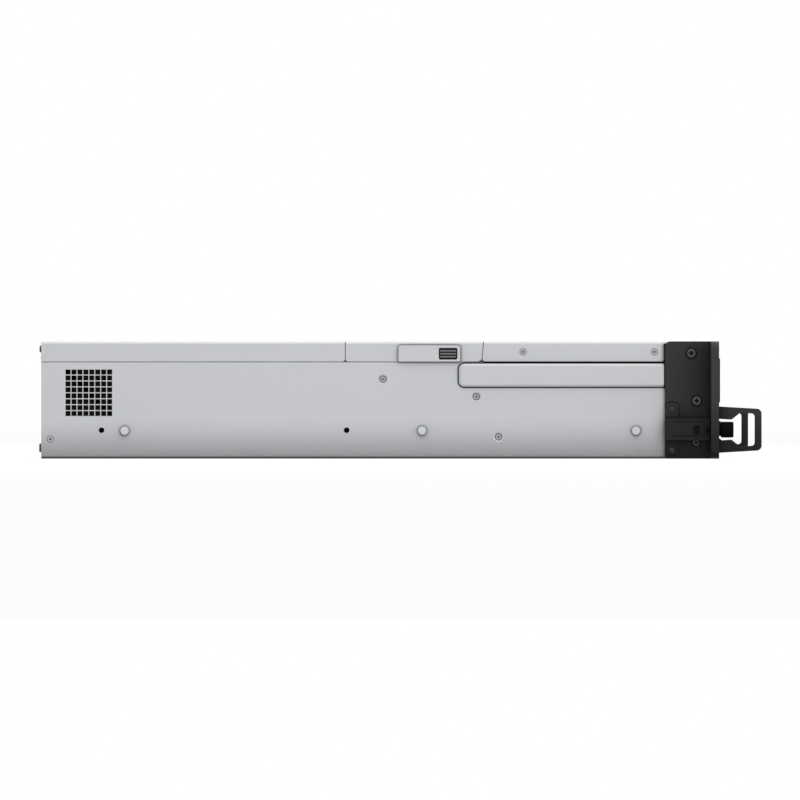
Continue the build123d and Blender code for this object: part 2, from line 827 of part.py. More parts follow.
# The rear panel, with side flanges along the walls and a lip under the rear cover
with BuildPart() as rear_panel:
    with BuildSketch(outward(rear_panel_y)):
        add(bulkhead_section.sketch)
        for place, size, counts, pitch, socket in port_blocks:
            with Locations((place, board_top + size[2] / 2)):
                Rectangle(size[0] + 2 * port_gap, size[2] + 2 * port_gap, mode=Mode.SUBTRACT)
        with Locations((supply_place, supply_middle)):
            Rectangle(*supply_opening, mode=Mode.SUBTRACT)
        with Locations(*[(x, card_height) for x in card_places]):
            Rectangle(*card_opening, mode=Mode.SUBTRACT)
        with Locations((rear_vent_place, rear_vent_height)):
            with GridLocations(rear_vent_pitch, 0, rear_vent_count, 1):
                Rectangle(*rear_vent, mode=Mode.SUBTRACT)
    extrude(amount=sheet)
    for side in (-1, 1):
        with Locations((side * wall_inside, rear_panel_y, bend_radius)):
            Box(
                sheet,
                panel_flange,
                wall_flat_top - bend_radius,
                align=(Align.MAX if side > 0 else Align.MIN, Align.MAX, Align.MIN),
            )
    # The lip on top, folded forward under the rear cover
    with Locations((0, rear_panel_y, cover_underside)):
        Box(
            2 * (joggle_x - sheet - slip),
            panel_lip,
            sheet,
            align=(Align.CENTER, Align.MAX, Align.MAX),
        )
        Box(
            2 * (joggle_x - sheet - slip),
            sheet,
            rear_lip_height,
            align=(Align.CENTER, Align.MAX, Align.MAX),
        )

save(rear_panel.part, "rear_panel")

with BuildPart() as slot_covers:
    with Locations(*[outward(rear_panel_y, x, card_height) for x in card_places]):
        Box(
            *card_cover,
            card_cover_thickness,
            align=(Align.CENTER, Align.CENTER, Align.MAX),
        )

save(slot_covers.part, "slot_covers")

# The three covers, all of one folded section. The seam ahead of the fan cover leans.
lean = Plane(
    origin=(0, behind_front(drive_section_end), (skirt_bottom + unit_height) / 2),
    x_dir=(1, 0, 0),
    z_dir=(0, skirt_height, seam_lean),
)
with BuildPart() as front_cover:
    with BuildSketch(outward(behind_front(fan_section_end))):
        add(cover_section.sketch)
    extrude(amount=fan_section_end - cover_front)
    split(bisect_by=lean.offset(-seam / 2), keep=Keep.BOTTOM)
    # The skirts start behind the ears' side plates, the top reaches forward between the ears
    for side in (-1, 1):
        with Locations((side * flange_inner, front_y, unit_height)):
            Box(
                ear_span,
                flange_thickness + slip,
                2 * skirt_height,
                align=(Align.MIN if side > 0 else Align.MAX, Align.MIN, Align.CENTER),
                mode=Mode.SUBTRACT,
            )
        with Locations((side * flange_inner, front_y, unit_height - bend_radius)):
            Box(
                ear_span,
                ear_plate_length + seam,
                skirt_height,
                align=(Align.MIN if side > 0 else Align.MAX, Align.MIN, Align.MAX),
                mode=Mode.SUBTRACT,
            )
    skirt_edges = front_cover.edges().filter_by(Axis.X).filter_by_position(
        Axis.Z, skirt_bottom - slip, skirt_bottom + slip
    )
    fillet(skirt_edges.group_by(Axis.Y)[-1], radius=skirt_corner)
    skirt_edges = front_cover.edges().filter_by(Axis.X).filter_by_position(
        Axis.Z, skirt_bottom - slip, skirt_bottom + slip
    )
    fillet(skirt_edges.group_by(Axis.Y)[0], radius=skirt_corner)

save(front_cover.part, "front_cover")

with BuildPart() as fan_cover:
    with BuildSketch(outward(behind_front(fan_section_end - seam / 2))):
        add(cover_section.sketch)
    extrude(amount=fan_section_end - drive_section_end + skirt_height)
    split(bisect_by=lean.offset(seam / 2), keep=Keep.TOP)
    skirt_edges = fan_cover.edges().filter_by(Axis.X).filter_by_position(
        Axis.Z, skirt_bottom - slip, skirt_bottom + slip
    )
    fillet(skirt_edges.group_by(Axis.Y)[-1], radius=bend_radius)
    skirt_edges = fan_cover.edges().filter_by(Axis.X).filter_by_position(
        Axis.Z, skirt_bottom - slip, skirt_bottom + slip
    )
    fillet(skirt_edges.group_by(Axis.Y)[0], radius=fan_skirt_corner)
    # The raised housing of the latch on each skirt, hollow from behind
    housing_height = latch_housing_top - skirt_bottom
    housing_distance = drive_section_end + latch_housing_from_seam + latch_housing_length / 2
    housing_middle = (skirt_bottom + latch_housing_top) / 2
    for side in (-1, 1):
        face = on_side(side, housing_distance, housing_middle)
        with BuildSketch(face) as housing:
            Rectangle(latch_housing_length, housing_height)
            fillet(housing.vertices().group_by(Axis.Y)[-1], radius=latch_housing_corner)
        extrude(amount=latch_housing_proud)
        with BuildSketch(face.offset(-sheet)):
            with Locations((0, -latch_housing_wall)):
                Rectangle(latch_housing_length - 2 * latch_housing_wall, housing_height)
        extrude(amount=latch_housing_proud, mode=Mode.SUBTRACT)
        with BuildSketch(on_side(side, latch_distance, latch_height)):
            RectangleRounded(*latch_window, latch_window_corner)
        extrude(amount=latch_housing_proud, mode=Mode.SUBTRACT)

save(fan_cover.part, "fan_cover")

with BuildPart() as rear_cover:
    with BuildSketch(outward(rear_y)):
        add(cover_section.sketch)
    extrude(amount=chassis_depth - fan_section_end - seam / 2)
    skirt_edges = rear_cover.edges().filter_by(Axis.X).filter_by_position(
        Axis.Z, skirt_bottom - slip, skirt_bottom + slip
    )
    fillet(skirt_edges.group_by(Axis.Y)[0], radius=bend_radius)
    # The lip folded down over the rear panel
    with Locations((0, rear_y, unit_height)):
        Box(
            2 * (joggle_x - sheet - slip),
            sheet,
            rear_lip_height,
            align=(Align.CENTER, Align.MAX, Align.MAX),
        )

save(rear_cover.part, "rear_cover")

# The latch buttons, each with a flange that stays behind its window
for side, name in ((-1, "cover_latch_left"), (1, "cover_latch_right")):
    with BuildPart() as cover_latch:
        window_plane = on_side(side, latch_distance, latch_height)
        with BuildSketch(window_plane.offset(latch_housing_proud - sheet - slip)):
            Rectangle(latch_flange[0], latch_window[1] - 2 * latch_fit)
        extrude(amount=-latch_flange[1])
        with BuildSketch(window_plane.offset(latch_housing_proud - sheet - slip)):
            RectangleRounded(
                latch_window[0] - 2 * latch_fit,
                latch_window[1] - 2 * latch_fit,
                latch_window_corner,
            )
        extrude(amount=sheet + slip - latch_button_sunk)
        with BuildSketch(window_plane.offset(latch_housing_proud - latch_button_sunk)):
            with GridLocations(0, latch_rib_pitch, 1, latch_ribs):
                Rectangle(*latch_rib[:2])
        extrude(amount=latch_rib[2])
    save(cover_latch.part, name)

# The ears, drawn for the right side and mirrored for the left
with BuildPart() as ear:
    with BuildSketch(outward(behind_front(flange_thickness))):
        with Locations((flange_inner, 0)):
            Rectangle(
                ear_span / 2 - flange_inner,
                unit_height,
                align=(Align.MIN, Align.MIN),
            )
    extrude(amount=flange_thickness)
    outer_edges = ear.edges().filter_by(Axis.Y).group_by(Axis.X)[-1]
    fillet(outer_edges, radius=flange_corner)
    with BuildSketch(on_side(1, flange_thickness, 0)) as plate:
        Rectangle(
            ear_plate_length - flange_thickness,
            unit_height,
            align=(Align.MIN, Align.MIN),
        )
        fillet(plate.vertices().group_by(Axis.Y)[-1].sort_by(Axis.X)[-1], radius=ear_plate_corner)
    extrude(amount=ear_plate_thickness)
    relief_spots = [
        (flange_thickness + slip + relief_slot[0] / 2, rack_screw_height + turn * relief_from_screw)
        for turn in (-1, 1)
    ]
    with BuildSketch(*[on_side(1, *spot, relief_floor) for spot in relief_spots]):
        Rectangle(*relief_slot)
    extrude(amount=ear_plate_thickness - relief_floor, mode=Mode.SUBTRACT)
    with Locations(outward(front_y, ear_x, rack_screw_height)):
        Hole(thumbscrew_radius + flange_hole_fit, depth=flange_thickness)

save(mirror(ear.part, about=Plane.YZ), "ear_left")

# The right ear also has a blind bore for the power button
with BuildPart() as ear_right:
    add(ear.part)
    with Locations(outward(front_y, front_plate_x, button_height)):
        Hole(button_radius + button_fit, depth=button_pocket)

save(ear_right.part, "ear_right")

# The pull handles, each a flat loop around the thumbscrew's knob
with BuildPart() as handle:
    handle_plane = Plane(
        origin=(ear_x - handle_thickness / 2, front_y, rack_screw_height),
        x_dir=(0, -1, 0),
        z_dir=(-1, 0, 0),
    )
    with BuildSketch(handle_plane):
        with BuildLine():
            FilletPolyline(
                *handle_outline,
                *[(reach, -half) for reach, half in reversed(handle_outline)],
                *[(reach, -half) for reach, half in handle_opening],
                *reversed(handle_opening),
                radius=[0, handle_corner]
                + [handle_corner, 0]
                + [0, 0, handle_inner_corner, handle_inner_corner]
                + [handle_inner_corner, handle_inner_corner, 0, 0],
                close=True,
            )
        make_face()
    extrude(amount=-handle_thickness)

with BuildPart() as pull_handles:
    add(handle.part)
    mirror(about=Plane.YZ)

save(pull_handles.part, "pull_handles")

with BuildPart() as thumbscrew:
    with Locations(outward(front_y - thumbscrew_gap, ear_x, rack_screw_height)):
        Cylinder(collar_radius, collar_height, align=(Align.CENTER, Align.CENTER, Align.MIN))
        Cylinder(
            thumbscrew_radius,
            thumbscrew_gap + flange_thickness + thumbscrew_tip,
            align=(Align.CENTER, Align.CENTER, Align.MAX),
        )
    with Locations(outward(front_y - thumbscrew_gap - collar_height, ear_x, rack_screw_height)):
        Cylinder(knob_radius, knob_height, align=(Align.CENTER, Align.CENTER, Align.MIN))
    with Locations(
        outward(behind_front(flange_thickness + thumbscrew_gap), ear_x, rack_screw_height)
    ):
        Cylinder(keeper_radius, keeper_height, align=(Align.CENTER, Align.CENTER, Align.MAX))
    chamfer(thumbscrew.faces().sort_by(Axis.Y)[0].edges(), length=knob_edge)

save(mirror(thumbscrew.part, about=Plane.YZ), "thumbscrew_left")
save(thumbscrew.part, "thumbscrew_right")

# The raised plates on the ears' upper halves. The right one carries the button and the lights.
button_spot = (front_plate_x, button_height)
light_spots = [(front_plate_x, height) for height in light_heights]
with BuildPart() as front_plates:
    for side in (-1, 1):
        with BuildSketch(outward(front_y)):
            with Locations((side * front_plate_x, front_plate_height)):
                RectangleRounded(*front_plate, front_plate_corner)
            if side > 0:
                with Locations(button_spot):
                    Circle(button_radius + button_fit, mode=Mode.SUBTRACT)
        extrude(amount=front_plate_thickness)

save(front_plates.part, "front_plates")

with BuildPart() as status_lights:
    with Locations(*[outward(front_y - front_plate_thickness, *spot) for spot in light_spots]):
        Cylinder(
            light_radius,
            light_proud,
            align=(Align.CENTER, Align.CENTER, Align.MIN),
        )

save(status_lights.part, "status_lights")

with BuildPart() as power_button:
    with Locations(outward(behind_front(button_depth), *button_spot)):
        Cylinder(
            button_radius,
            button_depth + front_plate_thickness + button_proud,
            align=(Align.CENTER, Align.CENTER, Align.MIN),
        )

save(power_button.part, "power_button")

# The guide plates on the ears' side plates
with BuildPart() as guide_plates:
    for side in (-1, 1):
        guide_face = on_side(side, *guide_plate_middle, ear_plate_thickness)
        with BuildSketch(guide_face):
            RectangleRounded(*guide_plate, guide_plate_corner)
        extrude(amount=guide_plate_thickness)

save(guide_plates.part, "guide_plates")

# The straps that cross the guide plates at the thumbscrews' height
strap_middle = ((strap_start + strap_end) / 2, (strap_bottom + strap_top) / 2)
strap_size = (strap_end - strap_start, strap_top - strap_bottom)
over_guide = ear_plate_thickness + guide_plate_thickness
with BuildPart() as guide_straps:
    for side in (-1, 1):
        with BuildSketch(on_side(side, *strap_middle, over_guide)) as strap:
            RectangleRounded(*strap_size, strap_corner)
        extrude(amount=strap_thickness)
        with BuildSketch(
            on_side(side, strap_start + strap_foot / 2, strap_middle[1], ear_plate_thickness)
        ):
            Rectangle(strap_foot, strap_size[1] - 2 * strap_corner)
        extrude(amount=guide_plate_thickness)
        strap_face = over_guide + strap_thickness
        with BuildSketch(
            *[on_side(side, strap_groove_middle, z, strap_face) for z in strap_groove_heights]
        ):
            Rectangle(*strap_groove[:2])
        extrude(amount=-strap_groove[2], mode=Mode.SUBTRACT)
        with BuildSketch(on_side(side, *strap_window_place, strap_face)):
            RectangleRounded(*strap_window, strap_window_corner)
        extrude(amount=-strap_thickness, mode=Mode.SUBTRACT)

save(guide_straps.part, "guide_straps")

# The ducts that cover the ears' wiring along the side walls, hollow towards the wall
duct_end = ear_plate_length
duct_middle = ((duct_start + duct_end) / 2, (duct_bottom + duct_top) / 2)
duct_size = (duct_start - duct_end, duct_top - duct_bottom)
with BuildPart() as cable_ducts:
    for side in (-1, 1):
        with BuildSketch(on_side(side, *duct_middle)) as duct:
            Rectangle(*duct_size)
            rear_end = duct.vertices().group_by(Axis.X)[-1 if side > 0 else 0]
            fillet(rear_end, radius=duct_corner)
        extrude(amount=duct_thickness)
        top_edge = (
            cable_ducts.edges()
            .filter_by(Axis.Y)
            .filter_by_position(Axis.Z, duct_top - slip, duct_top + slip)
            .sort_by(lambda edge: side * edge.center().X)[-1]
        )
        chamfer(top_edge, length=duct_bevel - duct_rim, length2=duct_bevel)
        with BuildSketch(on_side(side, *duct_middle)):
            with Locations((0, -duct_bevel / 2)):
                Rectangle(duct_size[0] - 2 * duct_corner, duct_size[1] - 2 * duct_bevel)
        extrude(amount=duct_thickness - duct_wall, mode=Mode.SUBTRACT)

save(cable_ducts.part, "cable_ducts")

# The studs that carry the rack's slide rails
with BuildPart() as rail_studs:
    with Locations(*both_sides(stud_spots)):
        Cylinder(stud_radius, stud_length, align=(Align.CENTER, Align.CENTER, Align.MIN))

save(rail_studs.part, "rail_studs")


def screw_heads(planes, radius, height):
    """Adds plain screw heads that stand on the given planes to the open part."""
    with Locations(*planes):
        Cylinder(radius, height, align=(Align.CENTER, Align.CENTER, Align.MIN))


with BuildPart() as side_screws:
    dimple_floors = both_sides(cage_screw_spots + fan_screw_spots, -dimple_depth)
    screw_heads(dimple_floors, dimple_head_radius, dimple_head_height)
    flush_seats = both_sides(cover_screw_spots + panel_screw_spots)
    screw_heads(flush_seats, flush_head_radius, flush_head_height)

save(side_screws.part, "side_screws")

with BuildPart() as ear_screws:
    for spot, radius in zip(ear_screw_spots, ear_head_radii):
        screw_heads(both_sides([spot], ear_plate_thickness), radius, pan_head_height)

save(ear_screws.part, "ear_screws")

with BuildPart() as rear_screws:
    for i in range(rear_lip_screws):
        x = rear_lip_screw_pitch * (i - (rear_lip_screws - 1) / 2)
        lip_face = [rearward(rear_y, x, rear_lip_screw_height)]
        screw_heads(lip_face, rear_lip_head_radius, rear_screw_head)
    ground_point = [rearward(rear_panel_y, ground_screw_x, ground_screw_height)]
    screw_heads(ground_point, ground_screw_radius, sheet + rear_screw_head)

save(rear_screws.part, "rear_screws")
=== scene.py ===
"""Dresses the two-unit rack storage case: its finishes, screws, lenses, contacts, floor and light.

Metres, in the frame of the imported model: +Z is up and the front faces -Y.
"""

import json
import math

import bmesh
import bpy
from mathutils import Matrix, Vector


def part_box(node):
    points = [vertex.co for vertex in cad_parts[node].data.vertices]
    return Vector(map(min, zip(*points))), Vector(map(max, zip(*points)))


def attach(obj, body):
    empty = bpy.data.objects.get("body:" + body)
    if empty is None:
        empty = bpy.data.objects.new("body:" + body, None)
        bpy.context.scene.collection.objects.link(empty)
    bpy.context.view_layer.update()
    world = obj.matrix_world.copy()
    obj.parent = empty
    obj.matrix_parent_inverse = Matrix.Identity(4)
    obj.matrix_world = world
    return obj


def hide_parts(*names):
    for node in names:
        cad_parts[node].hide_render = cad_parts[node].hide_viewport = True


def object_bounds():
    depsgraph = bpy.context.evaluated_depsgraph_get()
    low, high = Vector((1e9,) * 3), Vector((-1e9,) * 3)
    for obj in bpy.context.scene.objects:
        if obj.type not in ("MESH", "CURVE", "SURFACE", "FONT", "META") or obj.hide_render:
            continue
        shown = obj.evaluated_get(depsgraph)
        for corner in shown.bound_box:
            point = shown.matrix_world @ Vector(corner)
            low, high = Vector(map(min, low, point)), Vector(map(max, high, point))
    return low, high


bl_info = {
    "name": "Rack storage case",
    "version": (1, 0, 0),
    "blender": (4, 5, 0),
    "location": "View3D > Sidebar > Rack case",
    "description": "Finishes and small details for a two-unit rack storage case",
    "category": "Object",
}

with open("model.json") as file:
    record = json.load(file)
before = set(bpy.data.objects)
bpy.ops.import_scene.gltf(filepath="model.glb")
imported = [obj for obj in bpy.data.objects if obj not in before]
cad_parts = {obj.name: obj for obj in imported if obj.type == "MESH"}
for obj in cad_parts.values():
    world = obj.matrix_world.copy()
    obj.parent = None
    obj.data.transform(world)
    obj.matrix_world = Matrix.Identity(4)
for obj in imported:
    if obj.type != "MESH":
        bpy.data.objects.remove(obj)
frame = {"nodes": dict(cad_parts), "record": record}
cad_low, cad_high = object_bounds()
MM = 0.001
SIDES = (("left", -1), ("right", 1))
TRAYS = [f"tray_{number:02d}" for number in range(1, 13)]
LEVERS = [f"tray_lever_{number:02d}" for number in range(1, 13)]

# Places on the case: distances run back from the ears' front face, heights run up from the floor
EAR_FACE = -238.95 * MM  # as Y
WALL_THICKNESS = 1.2 * MM
SKIRT_LENGTH = 176.5 * MM  # to the front cover's rear edge
SKIRT_HEIGHT = 72.8 * MM  # of the front cover's lower edge
EDGE_HEIGHT = 86.0 * MM  # where the painted shadow strip beside an ear ends
VENT_DISTANCE = 472.4 * MM
VENT_HEIGHT = 49.4 * MM
RAIL_HOLE_DISTANCES = (279.0 * MM, 462.9 * MM)
RAIL_HOLE_HEIGHT = 21.3 * MM
PANEL_SCREW_X = 207.5 * MM  # either side of the middle
PANEL_SCREW_HEIGHT = 75.8 * MM
GUIDE_SCREW_RISES = (3.9 * MM, 34.6 * MM)  # above a guide plate's lower edge

# Shares of a screw's radius, and of a cross recess's arm
HEAD_DOME = 0.94
ARM_LENGTH = 1.5
ARM_WIDTH = 0.34
ARM_TAPER = 0.6
SHADOW_LENGTH = 1.25
SHADOW_TAPER = 0.65

SMOOTH_ANGLE = math.radians(30)  # edges sharper than this stay sharp
BEVEL_ANGLE = math.radians(35)

# Reach of the painted shade: in narrow gaps, in the corners of pale sheet and in those of black
# parts
GAP_REACH = 2.5 * MM
SHEET_REACH = 30 * MM
BLACK_REACH = 50 * MM

FLOOR_HALF = 9.0
FLOOR_GLOW = 1.1
FLOOR_WHITENESS = 0.85  # how far the glow hides the floor's own shading


# Settings


class FinishSettings(bpy.types.PropertyGroup):
    """Colours of the case's finishes."""

    steel: bpy.props.FloatVectorProperty(
        name="Steel",
        description="Painted sheet steel of the case and the covers",
        subtype="COLOR",
        default=(0.700, 0.712, 0.735),
        min=0,
        max=1,
    )
    zinc: bpy.props.FloatVectorProperty(
        name="Zinc",
        description="Bare plated steel of the inner sheets",
        subtype="COLOR",
        default=(0.56, 0.57, 0.58),
        min=0,
        max=1,
    )
    black_paint: bpy.props.FloatVectorProperty(
        name="Black paint",
        description="Powder coat of the ears and handles",
        subtype="COLOR",
        default=(0.045, 0.045, 0.047),
        min=0,
        max=1,
    )
    black_plastic: bpy.props.FloatVectorProperty(
        name="Black plastic",
        description="Moulded trays, levers and fans",
        subtype="COLOR",
        default=(0.022, 0.022, 0.024),
        min=0,
        max=1,
    )
    knob: bpy.props.FloatVectorProperty(
        name="Knob",
        description="Black of the thumbscrews' knobs",
        subtype="COLOR",
        default=(0.004, 0.004, 0.005),
        min=0,
        max=1,
    )
    board: bpy.props.FloatVectorProperty(
        name="Circuit board",
        description="Solder mask of the boards",
        subtype="COLOR",
        default=(0.012, 0.085, 0.040),
        min=0,
        max=1,
    )
    lens: bpy.props.FloatVectorProperty(
        name="Lens",
        description="Light of the status lenses",
        subtype="COLOR",
        default=(0.10, 0.85, 0.30),
        min=0,
        max=1,
    )


class DetailSettings(bpy.types.PropertyGroup):
    """Sizes of the small details."""

    recess_depth: bpy.props.FloatProperty(
        name="Recess depth",
        description="Depth of the cross recess in a screw's head",
        subtype="DISTANCE",
        default=0.0009,
        min=0.0002,
    )
    knurls: bpy.props.IntProperty(
        name="Knurls",
        description="Ridges around a thumbscrew's knob",
        default=36,
        min=12,
        max=72,
    )
    round_steps: bpy.props.IntProperty(
        name="Round steps",
        description="Steps around a turned piece",
        default=40,
        min=12,
        max=96,
    )


class StageSettings(bpy.types.PropertyGroup):
    """Camera and lamps."""

    distance: bpy.props.FloatProperty(
        name="Camera distance",
        description="From the camera to the near side wall",
        subtype="DISTANCE",
        default=12.0,
        min=1.0,
    )
    picture_width: bpy.props.FloatProperty(
        name="Picture width",
        description="Width of the view at the near side wall",
        subtype="DISTANCE",
        default=0.60016,
        min=0.1,
    )
    top_lamp: bpy.props.FloatProperty(
        name="Top lamp",
        description="Power of the lamp above",
        subtype="POWER",
        default=33.0,
        min=0,
    )
    side_lamp: bpy.props.FloatProperty(
        name="Side lamp",
        description="Power of each of the lamps around the case",
        subtype="POWER",
        default=16.0,
        min=0,
    )
    sky: bpy.props.FloatProperty(
        name="Sky",
        description="Strength of the even light from all round",
        default=0.30,
        min=0,
    )


# Materials


class Wire:
    """A socket of a material's nodes. Arithmetic on it adds the matching nodes."""

    def __init__(self, finish, socket):
        self.finish = finish
        self.socket = socket

    def worked(self, operation, *values):
        inputs = dict(enumerate(values))
        return self.finish.node("ShaderNodeMath", {"operation": operation}, inputs)

    def __add__(self, other):
        return self.worked("ADD", self, other)

    def __radd__(self, other):
        return self.worked("ADD", other, self)

    def __mul__(self, other):
        return self.worked("MULTIPLY", self, other)

    def __rmul__(self, other):
        return self.worked("MULTIPLY", other, self)

    def __lt__(self, other):
        return self.worked("LESS_THAN", self, other)

    def __pow__(self, other):
        return self.worked("POWER", self, other)


class Finish:
    """A material being put together around one Principled shader."""

    def __init__(self, name):
        self.material = bpy.data.materials.new(name)
        self.material.use_nodes = True
        self.tree = self.material.node_tree
        self.tree.nodes.clear()
        self.shader = self.tree.nodes.new("ShaderNodeBsdfPrincipled")
        self.output = self.tree.nodes.new("ShaderNodeOutputMaterial")
        self.tree.links.new(self.shader.outputs["BSDF"], self.output.inputs["Surface"])

    def plug(self, node, inputs):
        for key, value in inputs.items():
            if isinstance(value, Wire):
                self.tree.links.new(value.socket, node.inputs[key])
            else:
                node.inputs[key].default_value = value

    def node(self, kind, settings=None, inputs=None, output=0):
        """Adds a node of any kind: its settings first, then its sockets' values or links."""
        made = self.tree.nodes.new(kind)
        for key, value in (settings or {}).items():
            setattr(made, key, value)
        self.plug(made, inputs or {})
        return Wire(self, made.outputs[output])

    def set(self, **values):
        """Sets the shader's sockets, named as in Blender with underscores for spaces."""
        self.plug(self.shader, {key.replace("_", " "): value for key, value in values.items()})
        return self

    def place(self):
        return self.node("ShaderNodeTexCoord", output="Object")

    def noise(self, scale, detail=2.0, roughness=0.5, stretch=None):
        where = self.place()
        if stretch:
            where = self.node(
                "ShaderNodeMapping", {"vector_type": "POINT"}, {"Vector": where, "Scale": stretch}
            )
        return self.node(
            "ShaderNodeTexNoise",
            {"noise_dimensions": "3D"},
            {"Vector": where, "Scale": scale, "Detail": detail, "Roughness": roughness},
            "Fac",
        )

    def openness(self, reach):
        """One in the open, less where something stands within reach: the mask of the painted shade.
        """
        return self.node(
            "ShaderNodeAmbientOcclusion", {"samples": 8}, {"Distance": reach}, "AO"
        )

    def shade(self, shade, amount):
        """A colour darkened by an amount that varies: painted shade."""
        return self.node(
            "ShaderNodeMix",
            {"data_type": "RGBA"},
            {0: amount, 6: (0.0, 0.0, 0.0, 1.0), 7: shade},
            2,
        )

    def mix(self, amount, dark, light):
        """A colour between two others, by an amount that varies."""
        return self.node(
            "ShaderNodeMix",
            {"data_type": "RGBA"},
            {0: amount, 6: colour(dark), 7: colour(light)},
            2,
        )

    def bump(self, height, strength, distance, edge=0.0):
        """A normal from a height, on edges that are rounded by the given radius."""
        inputs = {"Height": height, "Strength": strength, "Distance": distance}
        if edge:
            inputs["Normal"] = self.node("ShaderNodeBevel", {"samples": 4}, {"Radius": edge})
        return self.node("ShaderNodeBump", None, inputs)


def colour(shade):
    """A socket as it is, or a colour with its opacity."""
    return shade if isinstance(shade, Wire) else (*shade, 1.0)


def scaled(shade, factor):
    """A lighter or darker colour."""
    return tuple(min(1.0, channel * factor) for channel in shade)


def painted_steel(shade):
    """Light satin paint on sheet steel, with a fine grain and painted shade in corners and near the
    floor.
    """
    f = Finish("painted_steel")
    cloud = f.noise(6.0, 2.0)
    grain = f.noise(2200.0, 2.0, 0.6)
    tone = cloud * 0.6 + grain * 0.4
    paint = f.mix(tone, scaled(shade, 0.965), scaled(shade, 1.035))
    # Painted shade in corners, in narrow gaps and near the floor
    painted_shade = f.openness(SHEET_REACH) ** 1.1 * f.openness(GAP_REACH) ** 1.2
    return f.set(
        Base_Color=f.shade(paint, painted_shade),
        Metallic=0.1,
        Roughness=0.40 + 0.10 * grain,
        Normal=f.bump(grain, strength=0.10, distance=0.08 * MM, edge=0.3 * MM),
    ).material


def plated_zinc(shade):
    """Plated sheet with faint spangle and fine rolling lines."""
    f = Finish("plated_zinc")
    spangle = f.node(
        "ShaderNodeTexVoronoi", {"feature": "F1"}, {"Vector": f.place(), "Scale": 130.0}, "Color"
    )
    facet = f.node("ShaderNodeSeparateColor", None, {"Color": spangle})
    lines = f.noise(90.0, 3.0, 0.7, (1.0, 30.0, 30.0))
    tone = facet * 0.5 + lines * 0.5
    return f.set(
        Base_Color=f.mix(tone, scaled(shade, 0.88), scaled(shade, 1.1)),
        Metallic=0.85,
        Roughness=0.34 + 0.16 * tone,
        Normal=f.bump(lines, strength=0.12, distance=0.05 * MM, edge=0.2 * MM),
    ).material


def black_coat(name, shade, sheen, rough):
    """Fine-textured black coating, with painted shade in corners."""
    f = Finish(name)
    grain = f.noise(3200.0, 2.0, 0.55)
    cloud = f.noise(25.0, 2.0)
    paint = f.mix(cloud, scaled(shade, 0.85), scaled(shade, 1.2))
    # Painted shade in corners and narrow gaps
    painted_shade = f.openness(BLACK_REACH) ** 3.0 * f.openness(GAP_REACH) ** 1.5
    return f.set(
        Base_Color=f.shade(paint, painted_shade),
        Roughness=rough + 0.12 * grain,
        Specular_IOR_Level=sheen,
        Normal=f.bump(grain, strength=0.30, distance=0.06 * MM, edge=0.4 * MM),
    ).material


def latch_plastic():
    """Softer dark plastic of the latch buttons."""
    f = Finish("latch_plastic")
    grain = f.noise(3000.0, 2.0, 0.5)
    return f.set(
        Base_Color=f.mix(grain, (0.004, 0.004, 0.004), (0.008, 0.008, 0.008)),
        Roughness=0.5 + 0.1 * grain,
        Specular_IOR_Level=0.2,
        Normal=f.bump(grain, strength=0.2, distance=0.04 * MM, edge=0.2 * MM),
    ).material


def latch_rib_highlight():
    """Painted highlight: the lighter crests of the latch buttons' ribs."""
    f = Finish("latch_rib_highlight")
    grain = f.noise(1800.0, 2.0, 0.5)
    return f.set(
        Base_Color=f.mix(grain, (0.17, 0.17, 0.175), (0.24, 0.24, 0.25)),
        Roughness=0.45 + 0.1 * grain,
    ).material


def circuit_board(shade):
    """Solder mask over copper, with fine traces."""
    f = Finish("circuit_board")
    where = f.place()
    traces = f.node(
        "ShaderNodeTexBrick",
        {"offset": 0.37, "squash": 1.6, "squash_frequency": 3},
        {
            "Vector": where,
            "Scale": 55.0,
            "Mortar Size": 0.035,
            "Mortar Smooth": 0.1,
            "Brick Width": 0.9,
            "Row Height": 0.22,
        },
        "Fac",
    )
    pads = f.node("ShaderNodeTexVoronoi", {"feature": "F1"}, {"Vector": where, "Scale": 190.0})
    pad = pads < 0.16
    masked = f.mix(traces, shade, scaled(shade, 2.1))
    return f.set(
        Base_Color=f.mix(pad * 0.6, masked, (0.55, 0.48, 0.30)),
        Roughness=0.32 + 0.18 * pad,
        Normal=f.bump(traces + pad * 0.5, strength=0.25, distance=0.04 * MM),
    ).material


def brushed_aluminium():
    """Aluminium with fine lines along the fins."""
    f = Finish("brushed_aluminium")
    lines = f.noise(160.0, 3.0, 0.7, (1.0, 40.0, 1.0))
    return f.set(
        Base_Color=f.mix(lines, (0.60, 0.60, 0.61), (0.78, 0.78, 0.79)),
        Metallic=1.0,
        Roughness=0.26 + 0.14 * lines,
        Normal=f.bump(lines, strength=0.12, distance=0.05 * MM),
    ).material


def screw_steel(name, dark, light, metallic):
    """Plated or blackened steel of the screws' heads."""
    f = Finish(name)
    grain = f.noise(1500.0, 2.0, 0.6)
    return f.set(
        Base_Color=f.mix(grain, dark, light),
        Metallic=metallic,
        Roughness=0.30 + 0.16 * grain,
        Normal=f.bump(grain, strength=0.1, distance=0.03 * MM, edge=0.08 * MM),
    ).material


def shade_paint(name, dark, light):
    """Painted shade: a dark, dull colour in the screws' recesses and under their heads."""
    f = Finish(name)
    grain = f.noise(1500.0, 2.0, 0.6)
    return f.set(
        Base_Color=f.mix(grain, dark, light),
        Roughness=0.6 + 0.2 * grain,
        Specular_IOR_Level=0.05,
    ).material


def highlight_paint(shade):
    """The steel paint made lighter and free of painted shade: a painted highlight on the sloping
    rims of the walls' dimples and on the rail studs.
    """
    f = Finish("highlight_paint")
    grain = f.noise(2200.0, 2.0, 0.6)
    return f.set(
        Base_Color=f.mix(grain, scaled(shade, 1.1), scaled(shade, 1.2)),
        Roughness=0.32 + 0.1 * grain,
    ).material


